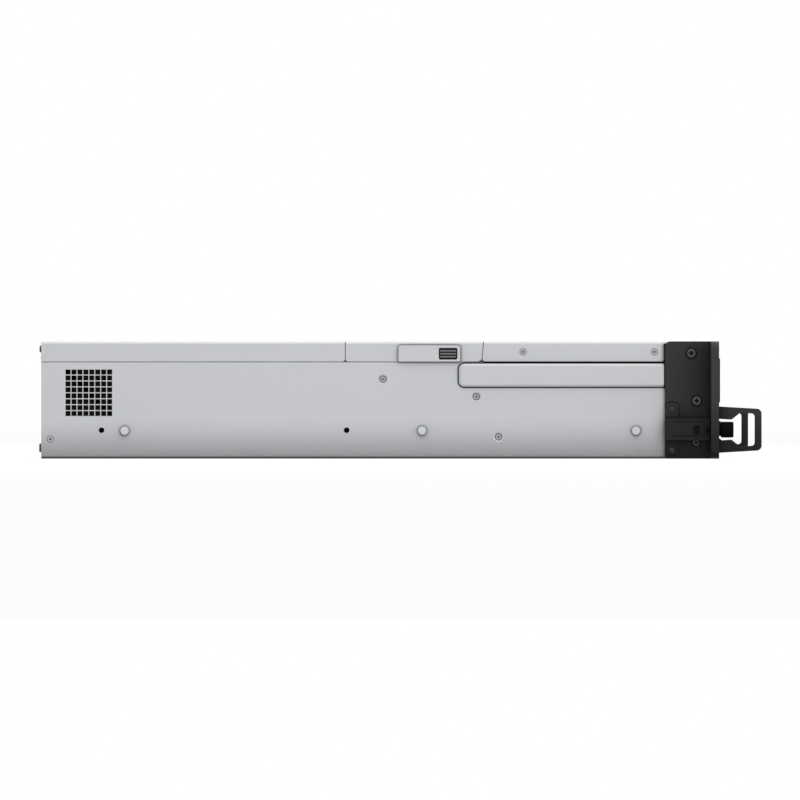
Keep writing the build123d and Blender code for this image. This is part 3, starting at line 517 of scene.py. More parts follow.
def status_lens(shade):
    """A light pipe, a little brighter in its middle."""
    f = Finish("status_lens")
    cloud = f.noise(900.0, 2.0)
    return f.set(
        Base_Color=f.mix(cloud, scaled(shade, 0.5), shade),
        Roughness=0.2 + 0.08 * cloud,
        Emission_Color=f.mix(cloud, scaled(shade, 0.7), shade),
        Emission_Strength=0.25,
    ).material


def contact_gold():
    """Thin gilt on the contacts."""
    f = Finish("contact_gold")
    grain = f.noise(800.0, 2.0)
    return f.set(
        Base_Color=f.mix(grain, (0.75, 0.52, 0.18), (0.90, 0.68, 0.30)),
        Metallic=1.0,
        Roughness=0.22 + 0.12 * grain,
    ).material


def part_black():
    """Epoxy of chips and sockets."""
    f = Finish("part_black")
    grain = f.noise(1800.0, 2.0)
    return f.set(
        Base_Color=f.mix(grain, (0.012, 0.012, 0.013), (0.030, 0.030, 0.032)),
        Roughness=0.45 + 0.2 * grain,
        Normal=f.bump(grain, strength=0.15, distance=0.04 * MM),
    ).material


# Meshes


def mesh_from(build):
    """A mesh that the function fills in."""
    mesh = bpy.data.meshes.new("piece")
    shape = bmesh.new()
    build(shape)
    bmesh.ops.recalc_face_normals(shape, faces=shape.faces)
    shape.to_mesh(mesh)
    shape.free()
    return mesh


def turned(profile, steps, ripple=None, ring=False):
    """A closed solid turned around Z from (radius, height) points.

    Its ends are capped or, as a ring, joined to each other. ripple gives a change of radius
    for each point of the profile and step around it.
    """

    def build(shape):
        rings = []
        for index, (radius, height) in enumerate(profile):
            circle = []
            for step in range(steps):
                angle = 2 * math.pi * step / steps
                reach = radius + (ripple(index, step) if ripple else 0.0)
                point = (reach * math.cos(angle), reach * math.sin(angle), height)
                circle.append(shape.verts.new(point))
            rings.append(circle)
        for lower, upper in zip(rings, rings[1:] + rings[:1] if ring else rings[1:]):
            for step in range(steps):
                after = (step + 1) % steps
                shape.faces.new((lower[step], lower[after], upper[after], upper[step]))
        if not ring:
            shape.faces.new(list(reversed(rings[0])))
            shape.faces.new(rings[-1])

    return mesh_from(build)


def block(size, low_z=0.0, taper=1.0):
    """A box centred on the Z axis, from low_z up, whose lower end is narrowed by taper."""
    width, depth, height = size

    def build(shape):
        corners = []
        for z, factor in ((low_z, taper), (low_z + height, 1.0)):
            for x, y in ((-1, -1), (1, -1), (1, 1), (-1, 1)):
                corners.append(
                    shape.verts.new((x * width / 2 * factor, y * depth / 2 * factor, z))
                )
        for face in (
            (0, 3, 2, 1),
            (4, 5, 6, 7),
            (0, 1, 5, 4),
            (1, 2, 6, 5),
            (2, 3, 7, 6),
            (3, 0, 4, 7),
        ):
            shape.faces.new([corners[i] for i in face])

    return mesh_from(build)


def plate(outline, near, far):
    """A flat plate between two X planes, from its (y, z) outline."""

    def build(shape):
        rims = [[shape.verts.new((x, y, z)) for y, z in outline] for x in (near, far)]
        count = len(outline)
        for step in range(count):
            after = (step + 1) % count
            shape.faces.new((rims[0][step], rims[0][after], rims[1][after], rims[1][step]))
        shape.faces.new(list(reversed(rims[0])))
        shape.faces.new(rims[1])

    return mesh_from(build)


def moved_copies(items):
    """One mesh of many: (mesh, matrix) pairs."""

    def build(shape):
        for mesh, matrix in items:
            piece = mesh.copy()
            piece.transform(matrix)
            shape.from_mesh(piece)
            bpy.data.meshes.remove(piece)

    return mesh_from(build)


def cut(mesh, cutter):
    """The first mesh with the second taken out of it."""
    body = bpy.data.objects.new("body", mesh)
    tool = bpy.data.objects.new("tool", cutter)
    for thing in (body, tool):
        bpy.context.collection.objects.link(thing)
    change = body.modifiers.new("cut", "BOOLEAN")
    change.object = tool
    change.operation = "DIFFERENCE"
    change.solver = "EXACT"
    graph = bpy.context.evaluated_depsgraph_get()
    result = bpy.data.meshes.new_from_object(body.evaluated_get(graph))
    for thing in (body, tool):
        bpy.data.objects.remove(thing)
    return result


def piece(name, mesh, finish, body, replaces=(), slot=None, bevel=0.0):
    """Adds a piece to the scene, on the body that carries it."""
    made = bpy.data.objects.new(name, mesh)
    bpy.context.collection.objects.link(made)
    mesh.materials.clear()
    mesh.materials.append(material(finish))
    mesh.set_sharp_from_angle(angle=SMOOTH_ANGLE)
    for face in mesh.polygons:
        face.use_smooth = True
    if bevel:
        change = made.modifiers.new("edges", "BEVEL")
        change.width = bevel
        change.segments = 2
        change.limit_method = "ANGLE"
        change.angle_limit = BEVEL_ANGLE
    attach(made, body)
    if replaces:
        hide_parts(*replaces)
    return made


def solids(node):
    """The boxes of a node's separate solids, as (low, high) corners."""
    mesh = frame["nodes"][node].data
    shape = bmesh.new()
    shape.from_mesh(mesh)
    bmesh.ops.remove_doubles(shape, verts=shape.verts, dist=1e-6)
    shape.verts.ensure_lookup_table()
    seen = set()
    found = []
    for start in shape.verts:
        if start.index in seen:
            continue
        stack, points = [start], []
        seen.add(start.index)
        while stack:
            vert = stack.pop()
            points.append(vert.co.copy())
            for edge in vert.link_edges:
                other = edge.other_vert(vert)
                if other.index not in seen:
                    seen.add(other.index)
                    stack.append(other)
        low = Vector(min(p[i] for p in points) for i in range(3))
        high = Vector(max(p[i] for p in points) for i in range(3))
        found.append((low, high))
    shape.free()
    return found


def standing(point, direction):
    """A matrix that stands a piece drawn along +Z on a point, along a direction."""
    turn = Vector(direction).to_track_quat("Z", "Y").to_matrix().to_4x4()
    return Matrix.Translation(Vector(point)) @ turn


def cross_arms(radius, recess):
    """The two arms of a cross recess, down from zero, the second a little larger."""
    length = radius * ARM_LENGTH
    for turn, trim in ((0.0, 1.0), (math.pi / 2, 1.002)):
        size = (length * trim, length * ARM_WIDTH * trim, recess + 2 * MM)
        arm = block(size, -recess, ARM_TAPER)
        arm.transform(Matrix.Rotation(turn, 4, "Z"))
        yield arm


def cross_screw(radius, tall, recess, steps):
    """A screw's head along +Z from zero, with a cross recess in its top."""
    profile = [
        (radius * 0.96, 0.0),
        (radius, tall * 0.1),
        (radius, tall * 0.45),
        (radius * 0.95, tall * 0.75),
        (radius * HEAD_DOME, tall * 0.96),
        (radius * HEAD_DOME * 0.85, tall),
    ]
    mesh = turned(profile, steps)
    for arm in cross_arms(radius, recess):
        arm.transform(Matrix.Translation((0, 0, tall)))
        mesh = cut(mesh, arm)
    return mesh


def screw_shadow(radius, tall, recess, seat, steps):
    """Painted shade: the dark floor of a screw's recess, and the dark ring of its seat."""
    length = radius * SHADOW_LENGTH
    floor = tall - recess
    items = []
    for turn, trim in ((0.0, 1.0), (math.pi / 2, 0.995)):
        size = (length * trim, length * ARM_WIDTH * trim, recess * 0.6 * trim)
        items.append((block(size, floor, SHADOW_TAPER), Matrix.Rotation(turn, 4, "Z")))
    rim = 0.03 * MM
    inner = radius * 0.9
    ring = [(inner, 0.0), (seat, 0.0), (seat, rim), (inner, rim)]
    items.append((turned(ring, steps, ring=True), Matrix()))
    return moved_copies(items)


def screw_set(name, screws, finish, replaces=(), shadow="shade_black"):
    """Adds a group of cross screws with the painted shade of their recesses and seats.

    Each screw is its seat's middle, its direction, radius, height, recess and the ring's radius.
    """
    steps = bpy.context.scene.case_detail.round_steps
    heads = []
    shadows = []
    for base, direction, radius, tall, recess, seat in screws:
        place = standing(base, direction)
        heads.append((cross_screw(radius, tall, recess, steps), place))
        shadows.append((screw_shadow(radius, tall, recess, seat, steps), place))
    piece(f"{name}_heads", moved_copies(heads), finish, "case", replaces, "screw")
    # The dark floors and rings are painted shade
    piece(f"{name}_recesses", moved_copies(shadows), shadow, "case", (), "screw")


def on_wall(low, high):
    """The seat, direction, radius and height of a round solid that stands on a side wall."""
    side = 1 if high.x > 0 else -1
    seat = low.x if side > 0 else high.x
    base = (seat, (low.y + high.y) / 2, (low.z + high.z) / 2)
    return base, (side, 0, 0), (high.z - low.z) / 2, high.x - low.x


def material(name):
    """A finished material, by its name."""
    found = bpy.data.materials.get(name)
    if found is None:
        raise RuntimeError(f"no material {name}: apply the finishes first")
    return found


# Operators


class CASE_OT_finishes(bpy.types.Operator):
    """Makes the materials and gives one to every node of the model"""

    bl_idname = "case.finishes"
    bl_label = "Apply finishes"

    def execute(self, context):
        finish = context.scene.case_finish
        steel = painted_steel(tuple(finish.steel))
        zinc = plated_zinc(tuple(finish.zinc))
        coat = black_coat("black_powder_coat", tuple(finish.black_paint), 0.15, 0.38)
        plastic = black_coat("moulded_plastic", tuple(finish.black_plastic), 0.2, 0.42)
        black_coat("black_knurl", tuple(finish.knob), 0.05, 0.5)
        # Painted shade for recesses, seats, gaps and holes
        shade_paint("shade_black", (0.003, 0.003, 0.003), (0.010, 0.010, 0.010))
        shade_paint("shade_grey", (0.11, 0.11, 0.112), (0.17, 0.17, 0.173))
        # A lighter copy of the steel paint, as a painted highlight
        highlight_paint(tuple(finish.steel))
        board = circuit_board(tuple(finish.board))
        latch = latch_plastic()
        latch_rib_highlight()
        aluminium = brushed_aluminium()
        bright = screw_steel("screw_bright", (0.46, 0.46, 0.47), (0.58, 0.58, 0.59), 0.1)
        black = screw_steel("screw_black", (0.036, 0.036, 0.037), (0.050, 0.050, 0.052), 0.1)
        lens = status_lens(tuple(finish.lens))
        contact_gold()
        epoxy = part_black()
        by_node = {
            "rail_studs": bright,
            "side_screws": bright,
            "rear_screws": bright,
            "ear_screws": black,
            "status_lights": lens,
            "cpu_heatsink": aluminium,
            "drive_connectors": epoxy,
            "cover_latch_left": latch,
            "cover_latch_right": latch,
        }
        by_slot = {
            "steel": steel,
            "zinc": zinc,
            "black_metal": coat,
            "black_plastic": plastic,
            "board": board,
        }
        for part in frame["record"]["subparts"]:
            node = part["node"]
            chosen = by_node.get(node) or by_slot.get(part["material_slot"])
            if chosen is None:
                raise RuntimeError(f"no finish for {node}")
            mesh = frame["nodes"][node].data
            mesh.materials.clear()
            mesh.materials.append(chosen)
        return {"FINISHED"}


class CASE_OT_side_screws(bpy.types.Operator):
    """Adds the cross screws of the side walls, in their dimples and flush on the covers"""

    bl_idname = "case.side_screws"
    bl_label = "Side screws"

    def execute(self, context):
        steps = context.scene.case_detail.round_steps
        dimple = 2.75 * MM  # radius of a dimple's flat floor
        slope = [
            (2.78 * MM, 0.0),
            (3.6 * MM, 0.78 * MM),
            (3.6 * MM, 0.82 * MM),
            (2.78 * MM, 0.06 * MM),
        ]
        screws = []
        rims = []
        for low, high in solids("side_screws"):
            base, direction, radius, tall = on_wall(low, high)
            if tall > 0.35 * MM:  # sunk in a dimple, and not flush on a cover
                screws.append((base, direction, radius * 0.82, tall, tall * 0.9, dimple))
                rims.append((turned(slope, steps, ring=True), standing(base, direction)))
            else:
                screws.append((base, direction, radius * 0.93, tall, tall * 0.9, radius * 1.07))
        # The grey in the recesses is painted shade
        screw_set("side_screw", screws, "screw_bright", ["side_screws"], "shade_grey")
        # The dimples' rims take the lighter paint: a painted highlight
        piece("dimple_rim_highlights", moved_copies(rims), "highlight_paint", "case", (), "steel")
        return {"FINISHED"}


class CASE_OT_ear_screws(bpy.types.Operator):
    """Adds the black cross screws of the ears and the small ones of their guide plates"""

    bl_idname = "case.ear_screws"
    bl_label = "Ear screws"

    def execute(self, context):
        depth = context.scene.case_detail.recess_depth
        screws = []
        for low, high in solids("ear_screws"):
            base, direction, radius, tall = on_wall(low, high)
            screws.append((base, direction, radius * 0.92, tall, depth, radius + 0.6 * MM))
        screw_set("ear_screw", screws, "screw_black", ["ear_screws"])
        small = []
        for low, high in solids("guide_plates"):
            (_, y, _), direction, _, _ = on_wall(low, high)
            face = high.x if high.x > 0 else low.x
            for rise in GUIDE_SCREW_RISES:
                base = (face, y, low.z + rise)
                small.append((base, direction, 1.9 * MM, 0.6 * MM, 0.5 * MM, 2.4 * MM))
        screw_set("guide_screw", small, "screw_black")
        return {"FINISHED"}


class CASE_OT_rear_screws(bpy.types.Operator):
    """Adds the pan-head screws of the rear cover's lip, the ground point and the rear panel"""

    bl_idname = "case.rear_screws"
    bl_label = "Rear screws"

    def execute(self, context):
        depth = context.scene.case_detail.recess_depth
        outward = (0, 1, 0)
        screws = []
        for low, high in solids("rear_screws"):
            radius = (high.z - low.z) / 2
            base = ((low.x + high.x) / 2, low.y, (low.z + high.z) / 2)
            screws.append((base, outward, radius, high.y - low.y, depth, radius * 1.12))
        screw_set("rear_screw", screws, "screw_black", ["rear_screws"])
        panel_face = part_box("rear_panel")[1][1]
        small = []
        for x in (-PANEL_SCREW_X, PANEL_SCREW_X):
            base = (x, panel_face, PANEL_SCREW_HEIGHT)
            small.append((base, outward, 2.1 * MM, 1.5 * MM, depth, 2.4 * MM))
        screw_set("panel_screw", small, "screw_black")
        return {"FINISHED"}


class CASE_OT_shadow_strips(bpy.types.Operator):
    """Adds dark strips of painted shadow behind the ducts, under the front cover's skirts and
    beside the ears
    """

    bl_idname = "case.gaskets"
    bl_label = "Shadow strips"

    def execute(self, context):
        lip = 0.8 * MM
        thick = 0.3 * MM
        edge_thick = 1.8 * MM
        corner = 4.1 * MM + lip
        skirt_rear = EAR_FACE + SKIRT_LENGTH
        items = []
        for low, high in solids("cable_ducts"):
            (wall, _, _), (side, _, _), _, _ = on_wall(low, high)
            front, rear = low.y, high.y + lip
            bottom, top = low.z - lip, high.z + lip
            around = [(front, top), (front, bottom)]
            for start, turn_z in ((-90, bottom + corner), (0, top - corner)):
                for step in range(7):
                    angle = math.radians(start + 15 * step)
                    y = rear - corner + corner * math.cos(angle)
                    around.append((y, turn_z + corner * math.sin(angle)))
            skirt = [
                (front, SKIRT_HEIGHT),
                (front, SKIRT_HEIGHT - lip),
                (skirt_rear, SKIRT_HEIGHT - lip),
                (skirt_rear, SKIRT_HEIGHT),
            ]
            edge = [
                (front, bottom),
                (front + lip, bottom),
                (front + lip, EDGE_HEIGHT),
                (front, EDGE_HEIGHT),
            ]
            for outline, height in ((around, thick), (skirt, thick), (edge, edge_thick)):
                items.append((plate(outline, wall, wall + side * height), Matrix()))
        # Painted shadow in the gaps around the ducts, under the skirts and beside the ears
        piece("wall_shadow_strips", moved_copies(items), "shade_black", "case")
        return {"FINISHED"}


class CASE_OT_vent_shadow_plate(bpy.types.Operator):
    """Adds a black plate behind the left wall's vent: painted shade seen through its holes"""

    bl_idname = "case.vent_filter"
    bl_label = "Vent shadow plate"

    def execute(self, context):
        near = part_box("chassis_shell")[0][0] + WALL_THICKNESS + 0.05 * MM
        half = 18.5 * MM
        trim = 1.5 * MM
        outline = []
        for index, (y, z) in enumerate(((-1, -1), (1, -1), (1, 1), (-1, 1))):
            for step in (0, 1) if index % 2 else (1, 0):
                y_half = half - trim * step
                z_half = half - trim * (1 - step)
                outline.append(
                    (EAR_FACE + VENT_DISTANCE + y * y_half, VENT_HEIGHT + z * z_half)
                )
        # Painted shade behind the vent's holes
        piece("vent_shadow_plate", plate(outline, near, near + 1.5 * MM), "shade_black", "case")
        return {"FINISHED"}


class CASE_OT_clinch_nuts(bpy.types.Operator):
    """Adds the closed nuts behind the walls' rail screw holes"""

    bl_idname = "case.clinch_nuts"
    bl_label = "Clinch nuts"

    def execute(self, context):
        low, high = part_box("chassis_shell")
        bore = 2.05 * MM
        rim = 3.6 * MM
        pit = 0.05 * MM  # radius of the flat middle of each end
        profile = [
            (pit, 2.7 * MM),
            (bore, 2.6 * MM),
            (bore, 0.0),
            (rim, 0.0),
            (rim, 2.8 * MM),
            (3.2 * MM, 3.3 * MM),
            (pit, 3.3 * MM),
        ]
        nut = turned(profile, context.scene.case_detail.round_steps)
        items = []
        for side, wall in ((-1, low[0]), (1, high[0])):
            for distance in RAIL_HOLE_DISTANCES:
                base = (wall - side * WALL_THICKNESS, EAR_FACE + distance, RAIL_HOLE_HEIGHT)
                items.append((nut, standing(base, (-side, 0, 0))))
        # Their black is painted shade, seen through the rail screw holes
        piece("clinch_nuts", moved_copies(items), "shade_black", "case", (), "screw")
        return {"FINISHED"}


class CASE_OT_rail_studs(bpy.types.Operator):
    """Adds the turned studs that carry the slide rails"""

    bl_idname = "case.rail_studs"
    bl_label = "Rail studs"

    def execute(self, context):
        steps = context.scene.case_detail.round_steps
        items = []
        for low, high in solids("rail_studs"):
            base, direction, radius, tall = on_wall(low, high)
            profile = [
                (radius * 0.86, 0.0),
                (radius * 0.86, tall * 0.4),
                (radius, tall * 0.45),
                (radius, tall * 0.88),
                (radius * 0.92, tall),
            ]
            items.append((turned(profile, steps), standing(base, direction)))
        # The studs take the lighter paint: a painted highlight
        piece(
            "rail_stud_heads", moved_copies(items), "highlight_paint", "case", ["rail_studs"], "screw"
        )
        return {"FINISHED"}


class CASE_OT_thumbscrews(bpy.types.Operator):
    """Adds the knurled, slotted thumbscrews of the ears"""

    bl_idname = "case.thumbscrews"
    bl_label = "Thumbscrews"

    def execute(self, context):
        steps = context.scene.case_detail.knurls * 4
        shank = 2.45 * MM
        thread = 3.4 * MM
        neck = 4.4 * MM
        knob = 9.5 * MM  # length
        collar = 1.3 * MM  # length
        knurl_rows = (10, 11)  # of the profile

        def ripple(index, step):
            return (0.0, 0.03 * MM, 0.0, -0.2 * MM)[step % 4] if index in knurl_rows else 0.0

        for name, _ in SIDES:
            node = f"thumbscrew_{name}"
            low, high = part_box(node)
            middle = Vector(((low[0] + high[0]) / 2, low[1], (low[2] + high[2]) / 2))
            radius = (high[2] - low[2]) / 2
            tip = low[1] - high[1]
            under = -knob - collar
            profile = [
                (shank * 0.8, tip),
                (shank, tip + 0.5 * MM),
                (shank, tip + 3.0 * MM),
                (thread, tip + 3.05 * MM),
                (thread, under - 6.15 * MM),
                (shank, under - 6.1 * MM),
                (shank, under),
                (neck, under),
                (neck, -knob),
                (radius * 0.92, -knob),
                (radius * 0.995, -knob + 0.5 * MM),
                (radius * 0.995, -0.6 * MM),
                (radius * 0.92, 0.0),
                (radius * 0.55, 0.0),
                (radius * 0.5, -0.25 * MM),
            ]
            slot = block((1.3 * MM, radius * 2.4, 3.0 * MM), -1.5 * MM)
            mesh = cut(turned(profile, steps, ripple), slot)
            mesh.transform(standing(middle, (0, -1, 0)))
            piece(f"{node}_knob", mesh, "black_knurl", node, [node], "black_metal")
        return {"FINISHED"}


class CASE_OT_status_lights(bpy.types.Operator):
    """Adds the domed lenses beside the power button and the ring around it"""

    bl_idname = "case.status_lights"
    bl_label = "Status lights"

    def execute(self, context):
        items = []
        for low, high in solids("status_lights"):
            radius = (high.x - low.x) / 2
            tall = high.y - low.y
            base = Vector(((low.x + high.x) / 2, high.y, (low.z + high.z) / 2))
            profile = [
                (radius, 0.0),
                (radius, tall * 0.35),
                (radius * 0.85, tall * 0.8),
                (radius * 0.45, tall),
            ]
            items.append((turned(profile, 24), standing(base, (0, -1, 0))))
        piece(
            "status_lenses", moved_copies(items), "status_lens", "case", ["status_lights"], "light"
        )
        return {"FINISHED"}


class CASE_OT_tray_lenses(bpy.types.Operator):
    """Adds the two status lenses at the left end of every tray"""

    bl_idname = "case.tray_lenses"
    bl_label = "Tray lenses"

    def execute(self, context):
        middle = 13.5 * MM  # above a tray's floor
        spread = 4.5 * MM
        for name in TRAYS:
            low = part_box(name)[0]
            items = []
            for rise in (middle - spread, middle + spread):
                lens = block((1.6 * MM, 4.0 * MM, 0.7 * MM))
                place = (low[0] + 2.9 * MM, low[1] + 0.3 * MM, low[2] + rise)
                items.append((lens, standing(place, (0, -1, 0))))
            mesh = moved_copies(items)
            piece(f"{name}_lenses", mesh, "status_lens", name, (), "light", 0.15 * MM)
        return {"FINISHED"}


class CASE_OT_lever_grips(bpy.types.Operator):
    """Adds the finger ribs at the free end of every tray lever"""

    bl_idname = "case.lever_grips"
    bl_label = "Lever grips"

    def execute(self, context):
        for name in LEVERS:
            low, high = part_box(name)
            middle = (low[2] + high[2]) / 2
            items = []
            for inset in (2.0 * MM, 3.5 * MM, 5.0 * MM):
                rib = block((0.7 * MM, 12.0 * MM, 0.35 * MM), -0.1 * MM, 1.2)
                place = (low[0] + inset, low[1], middle)
                items.append((rib, standing(place, (0, -1, 0))))
            mesh = moved_copies(items)
            piece(f"{name}_ribs", mesh, "moulded_plastic", name, (), "black_plastic", 0.12 * MM)
        return {"FINISHED"}


class CASE_OT_latch_ribs(bpy.types.Operator):
    """Adds a painted highlight on the crests of the ribs of the two latch buttons"""

    bl_idname = "case.latch_ribs"
    bl_label = "Latch ribs"

    def execute(self, context):
        pitch = 2.2 * MM
        for name, side in SIDES:
            node = f"cover_latch_{name}"
            low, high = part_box(node)
            x = (high[0] if side > 0 else low[0]) - side * 0.02 * MM
            y = (low[1] + high[1]) / 2
            items = []
            for rise in (-pitch, 0.0, pitch):
                rib = block((0.05 * MM, 11.8 * MM, 1.0 * MM), -0.5 * MM)
                place = Vector((x, y, (low[2] + high[2]) / 2 + rise))
                items.append((rib, Matrix.Translation(place)))
            mesh = moved_copies(items)
            # Thin strips lighter than the buttons: a painted highlight on the ribs' crests
            piece(f"{node}_ribs", mesh, "latch_rib_highlight", node, (), "black_plastic")
        return {"FINISHED"}


class CASE_OT_port_contacts(bpy.types.Operator):
    """Adds the gilt contacts in the network and USB ports, and the USB ports' tongues"""

    bl_idname = "case.port_contacts"
    bl_label = "Port contacts"

    def execute(self, context):
        low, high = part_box("rear_ports")
        face = high[1]
        board = low[2]
        network_middle, network_pitch = -30.0 * MM, 16.5 * MM
        usb_x, usb_middle, usb_pitch = 18.0 * MM, 7.8 * MM, 7.4 * MM
        usb_heights = [board + usb_middle + usb_pitch * (port - 0.5) for port in range(2)]
        pins = []
        for port in range(4):
            x = network_middle + network_pitch * (port - 1.5)
            for pin in range(8):
                wire = block((0.35 * MM, 0.35 * MM, 6.0 * MM))
                place = (x + (pin - 3.5) * 1.0 * MM, face - 3.0 * MM, board + 10.4 * MM)
                pins.append((wire, standing(place, (0, -0.94, -0.34))))
        for z in usb_heights:
            for pin in range(4):
                wire = block((1.0 * MM, 0.2 * MM, 6.0 * MM))
                place = (usb_x + (pin - 1.5) * 2.4 * MM, face - 1.8 * MM, z + 0.8 * MM)
                pins.append((wire, standing(place, (0, -1, 0))))
        piece("port_contacts", moved_copies(pins), "contact_gold", "case", (), "zinc")
        tongues = []
        for z in usb_heights:
            tongue = block((11.6 * MM, 1.4 * MM, 7.5 * MM))
            place = (usb_x, face - 1.4 * MM, z + 1.8 * MM)
            tongues.append((tongue, standing(place, (0, -1, 0))))
        mesh = moved_copies(tongues)
        piece("port_tongues", mesh, "part_black", "case", (), "socket", 0.15 * MM)
        return {"FINISHED"}


class CASE_OT_board_parts(bpy.types.Operator):
    """Adds chips and capacitors to the main board"""

    bl_idname = "case.board_parts"
    bl_label = "Board parts"

    def execute(self, context):
        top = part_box("main_board")[1][2]
        # Millimetres: across, back from the ears' face, width, depth and height
        chips = [
            (-150, 330, 22, 22, 1.6),
            (-150, 440, 16, 16, 1.4),
            (-20, 455, 12, 12, 1.2),
            (60, 440, 14, 20, 1.4),
            (70, 330, 10, 10, 1.2),
            (-110, 310, 8, 12, 1.2),
        ]
        items = []
        for x, distance, width, depth, tall in chips:
            chip = block((width * MM, depth * MM, tall * MM))
            place = Vector((x * MM, EAR_FACE + distance * MM, top))
            items.append((chip, Matrix.Translation(place)))
        mesh = moved_copies(items)
        piece("board_chips", mesh, "part_black", "case", (), "socket", 0.3 * MM)
        profile = [
            (3.6 * MM, 0.0),
            (4.0 * MM, 0.4 * MM),
            (4.0 * MM, 10.4 * MM),
            (3.6 * MM, 11.0 * MM),
            (3.0 * MM, 10.8 * MM),
        ]
        can = turned(profile, 28)
        cans = []
        for distance in (300 * MM, 450 * MM):
            for x in (-130 * MM, -118 * MM, -106 * MM, -94 * MM, -82 * MM):
                place = Vector((x, EAR_FACE + distance, top))
                cans.append((can, Matrix.Translation(place)))
        mesh = moved_copies(cans)
        piece("board_capacitors", mesh, "brushed_aluminium", "case", (), "heatsink")
        return {"FINISHED"}


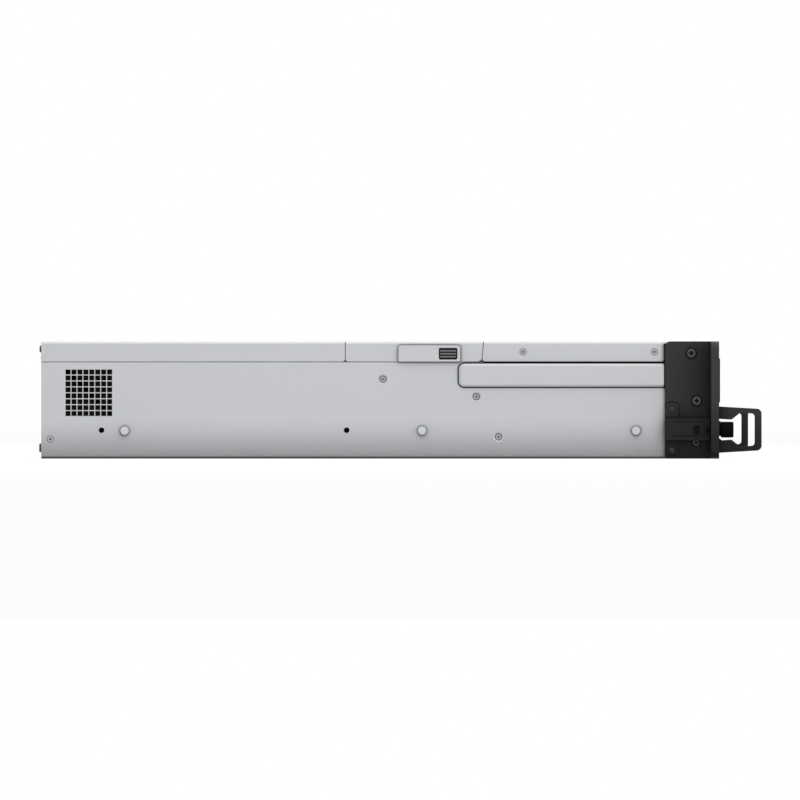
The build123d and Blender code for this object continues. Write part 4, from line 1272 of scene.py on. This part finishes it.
class CASE_OT_stage(bpy.types.Operator):
    """Adds the floor, the lamps and the camera"""

    bl_idname = "case.stage"
    bl_label = "Stage"

    def execute(self, context):
        scene = context.scene
        stage = scene.case_stage
        scene.view_settings.view_transform = "Standard"
        self.world(scene, stage)
        self.floor()
        self.lamps(stage)
        low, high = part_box("chassis_shell")
        camera = bpy.data.cameras.new("camera")
        camera.lens = camera.sensor_width * stage.distance / stage.picture_width
        camera.clip_end = 100
        holder = bpy.data.objects.new("camera", camera)
        middle = (cad_low + cad_high) / 2
        holder.location = (low[0] - stage.distance, middle.y, middle.z)
        holder.rotation_euler = (math.pi / 2, 0, -math.pi / 2)
        scene.collection.objects.link(holder)
        scene.camera = holder
        return {"FINISHED"}

    def world(self, scene, stage):
        """Even light from all round, seen as plain white."""
        world = bpy.data.worlds.new("studio")
        scene.world = world
        world.use_nodes = True
        tree = world.node_tree
        tree.nodes.clear()
        path = tree.nodes.new("ShaderNodeLightPath")
        seen = path.outputs["Is Camera Ray"]
        for ray in ("Is Transmission Ray", "Is Glossy Ray"):
            either = tree.nodes.new("ShaderNodeMath")
            either.operation = "MAXIMUM"
            tree.links.new(seen, either.inputs[0])
            tree.links.new(path.outputs[ray], either.inputs[1])
            seen = either.outputs[0]
        strength = tree.nodes.new("ShaderNodeMapRange")
        strength.inputs["To Min"].default_value = stage.sky
        strength.inputs["To Max"].default_value = 1.0
        tree.links.new(seen, strength.inputs["Value"])
        background = tree.nodes.new("ShaderNodeBackground")
        background.inputs["Color"].default_value = (1, 1, 1, 1)
        tree.links.new(strength.outputs["Result"], background.inputs["Strength"])
        output = tree.nodes.new("ShaderNodeOutputWorld")
        tree.links.new(background.outputs[0], output.inputs["Surface"])

    def floor(self):
        """A pale floor that is seen as white and keeps the case's shadow."""
        f = Finish("floor")
        cloud = f.noise(3.0, 2.0)
        f.set(Base_Color=f.mix(cloud, (0.48, 0.48, 0.48), (0.52, 0.52, 0.52)), Roughness=0.9)
        glow = f.node("ShaderNodeEmission", None, {"Color": (1, 1, 1, 1), "Strength": FLOOR_GLOW})
        seen = f.node("ShaderNodeLightPath", output="Is Camera Ray")
        seen = seen + f.node("ShaderNodeLightPath", output="Is Glossy Ray")
        seen = seen + f.node("ShaderNodeLightPath", output="Is Transmission Ray")
        shown = f.node(
            "ShaderNodeMixShader",
            None,
            {0: seen * FLOOR_WHITENESS, 1: Wire(f, f.shader.outputs["BSDF"]), 2: glow},
        )
        f.tree.links.new(shown.socket, f.output.inputs["Surface"])

        def build(shape):
            bmesh.ops.create_grid(shape, x_segments=4, y_segments=4, size=FLOOR_HALF)

        floor = bpy.data.objects.new("floor", mesh_from(build))
        floor.data.materials.append(f.material)
        floor.location = (0, 0, cad_low.z)
        bpy.context.collection.objects.link(floor)

    def lamps(self, stage):
        """Soft square lamps above and around the case: name, place, width and power."""
        spots = [
            ("top", (-0.5, -0.2, 2.2), 2.4, stage.top_lamp),
            ("left", (-2.6, -0.4, 1.3), 1.8, stage.side_lamp),
            ("right", (2.6, -0.4, 1.3), 1.8, stage.side_lamp),
            ("front", (-0.4, -2.8, 1.2), 1.8, stage.side_lamp),
            ("rear", (0.4, 2.8, 1.2), 1.8, stage.side_lamp),
        ]
        for name, place, size, power in spots:
            lamp = bpy.data.lights.new(name, "AREA")
            lamp.shape = "SQUARE"
            lamp.size = size
            lamp.energy = power
            holder = bpy.data.objects.new(name, lamp)
            holder.location = place
            aim = Vector((0, 0, 0.04)) - Vector(place)
            holder.rotation_euler = aim.to_track_quat("-Z", "Y").to_euler()
            bpy.context.collection.objects.link(holder)


OPERATORS = (
    CASE_OT_finishes,
    CASE_OT_side_screws,
    CASE_OT_ear_screws,
    CASE_OT_rear_screws,
    CASE_OT_shadow_strips,
    CASE_OT_vent_shadow_plate,
    CASE_OT_clinch_nuts,
    CASE_OT_rail_studs,
    CASE_OT_thumbscrews,
    CASE_OT_status_lights,
    CASE_OT_tray_lenses,
    CASE_OT_lever_grips,
    CASE_OT_latch_ribs,
    CASE_OT_port_contacts,
    CASE_OT_board_parts,
    CASE_OT_stage,
)


class CASE_PT_panel(bpy.types.Panel):
    """Lists the case's pieces and their settings"""

    bl_idname = "CASE_PT_panel"
    bl_label = "Rack case"
    bl_space_type = "VIEW_3D"
    bl_region_type = "UI"
    bl_category = "Rack case"

    def draw(self, context):
        for group in (
            context.scene.case_finish,
            context.scene.case_detail,
            context.scene.case_stage,
        ):
            for name in group.bl_rna.properties.keys():
                if name not in ("rna_type", "name"):
                    self.layout.prop(group, name)
        for operator in OPERATORS:
            self.layout.operator(operator.bl_idname)


CLASSES = (FinishSettings, DetailSettings, StageSettings, *OPERATORS, CASE_PT_panel)


def register():
    for entry in CLASSES:
        bpy.utils.register_class(entry)
    bpy.types.Scene.case_finish = bpy.props.PointerProperty(type=FinishSettings)
    bpy.types.Scene.case_detail = bpy.props.PointerProperty(type=DetailSettings)
    bpy.types.Scene.case_stage = bpy.props.PointerProperty(type=StageSettings)


def unregister():
    del bpy.types.Scene.case_stage
    del bpy.types.Scene.case_detail
    del bpy.types.Scene.case_finish
    for entry in reversed(CLASSES):
        bpy.utils.unregister_class(entry)


def main():
    register()
    for operator in OPERATORS:
        group, name = operator.bl_idname.split(".")
        getattr(getattr(bpy.ops, group), name)()


if __name__ == "__main__":
    main()
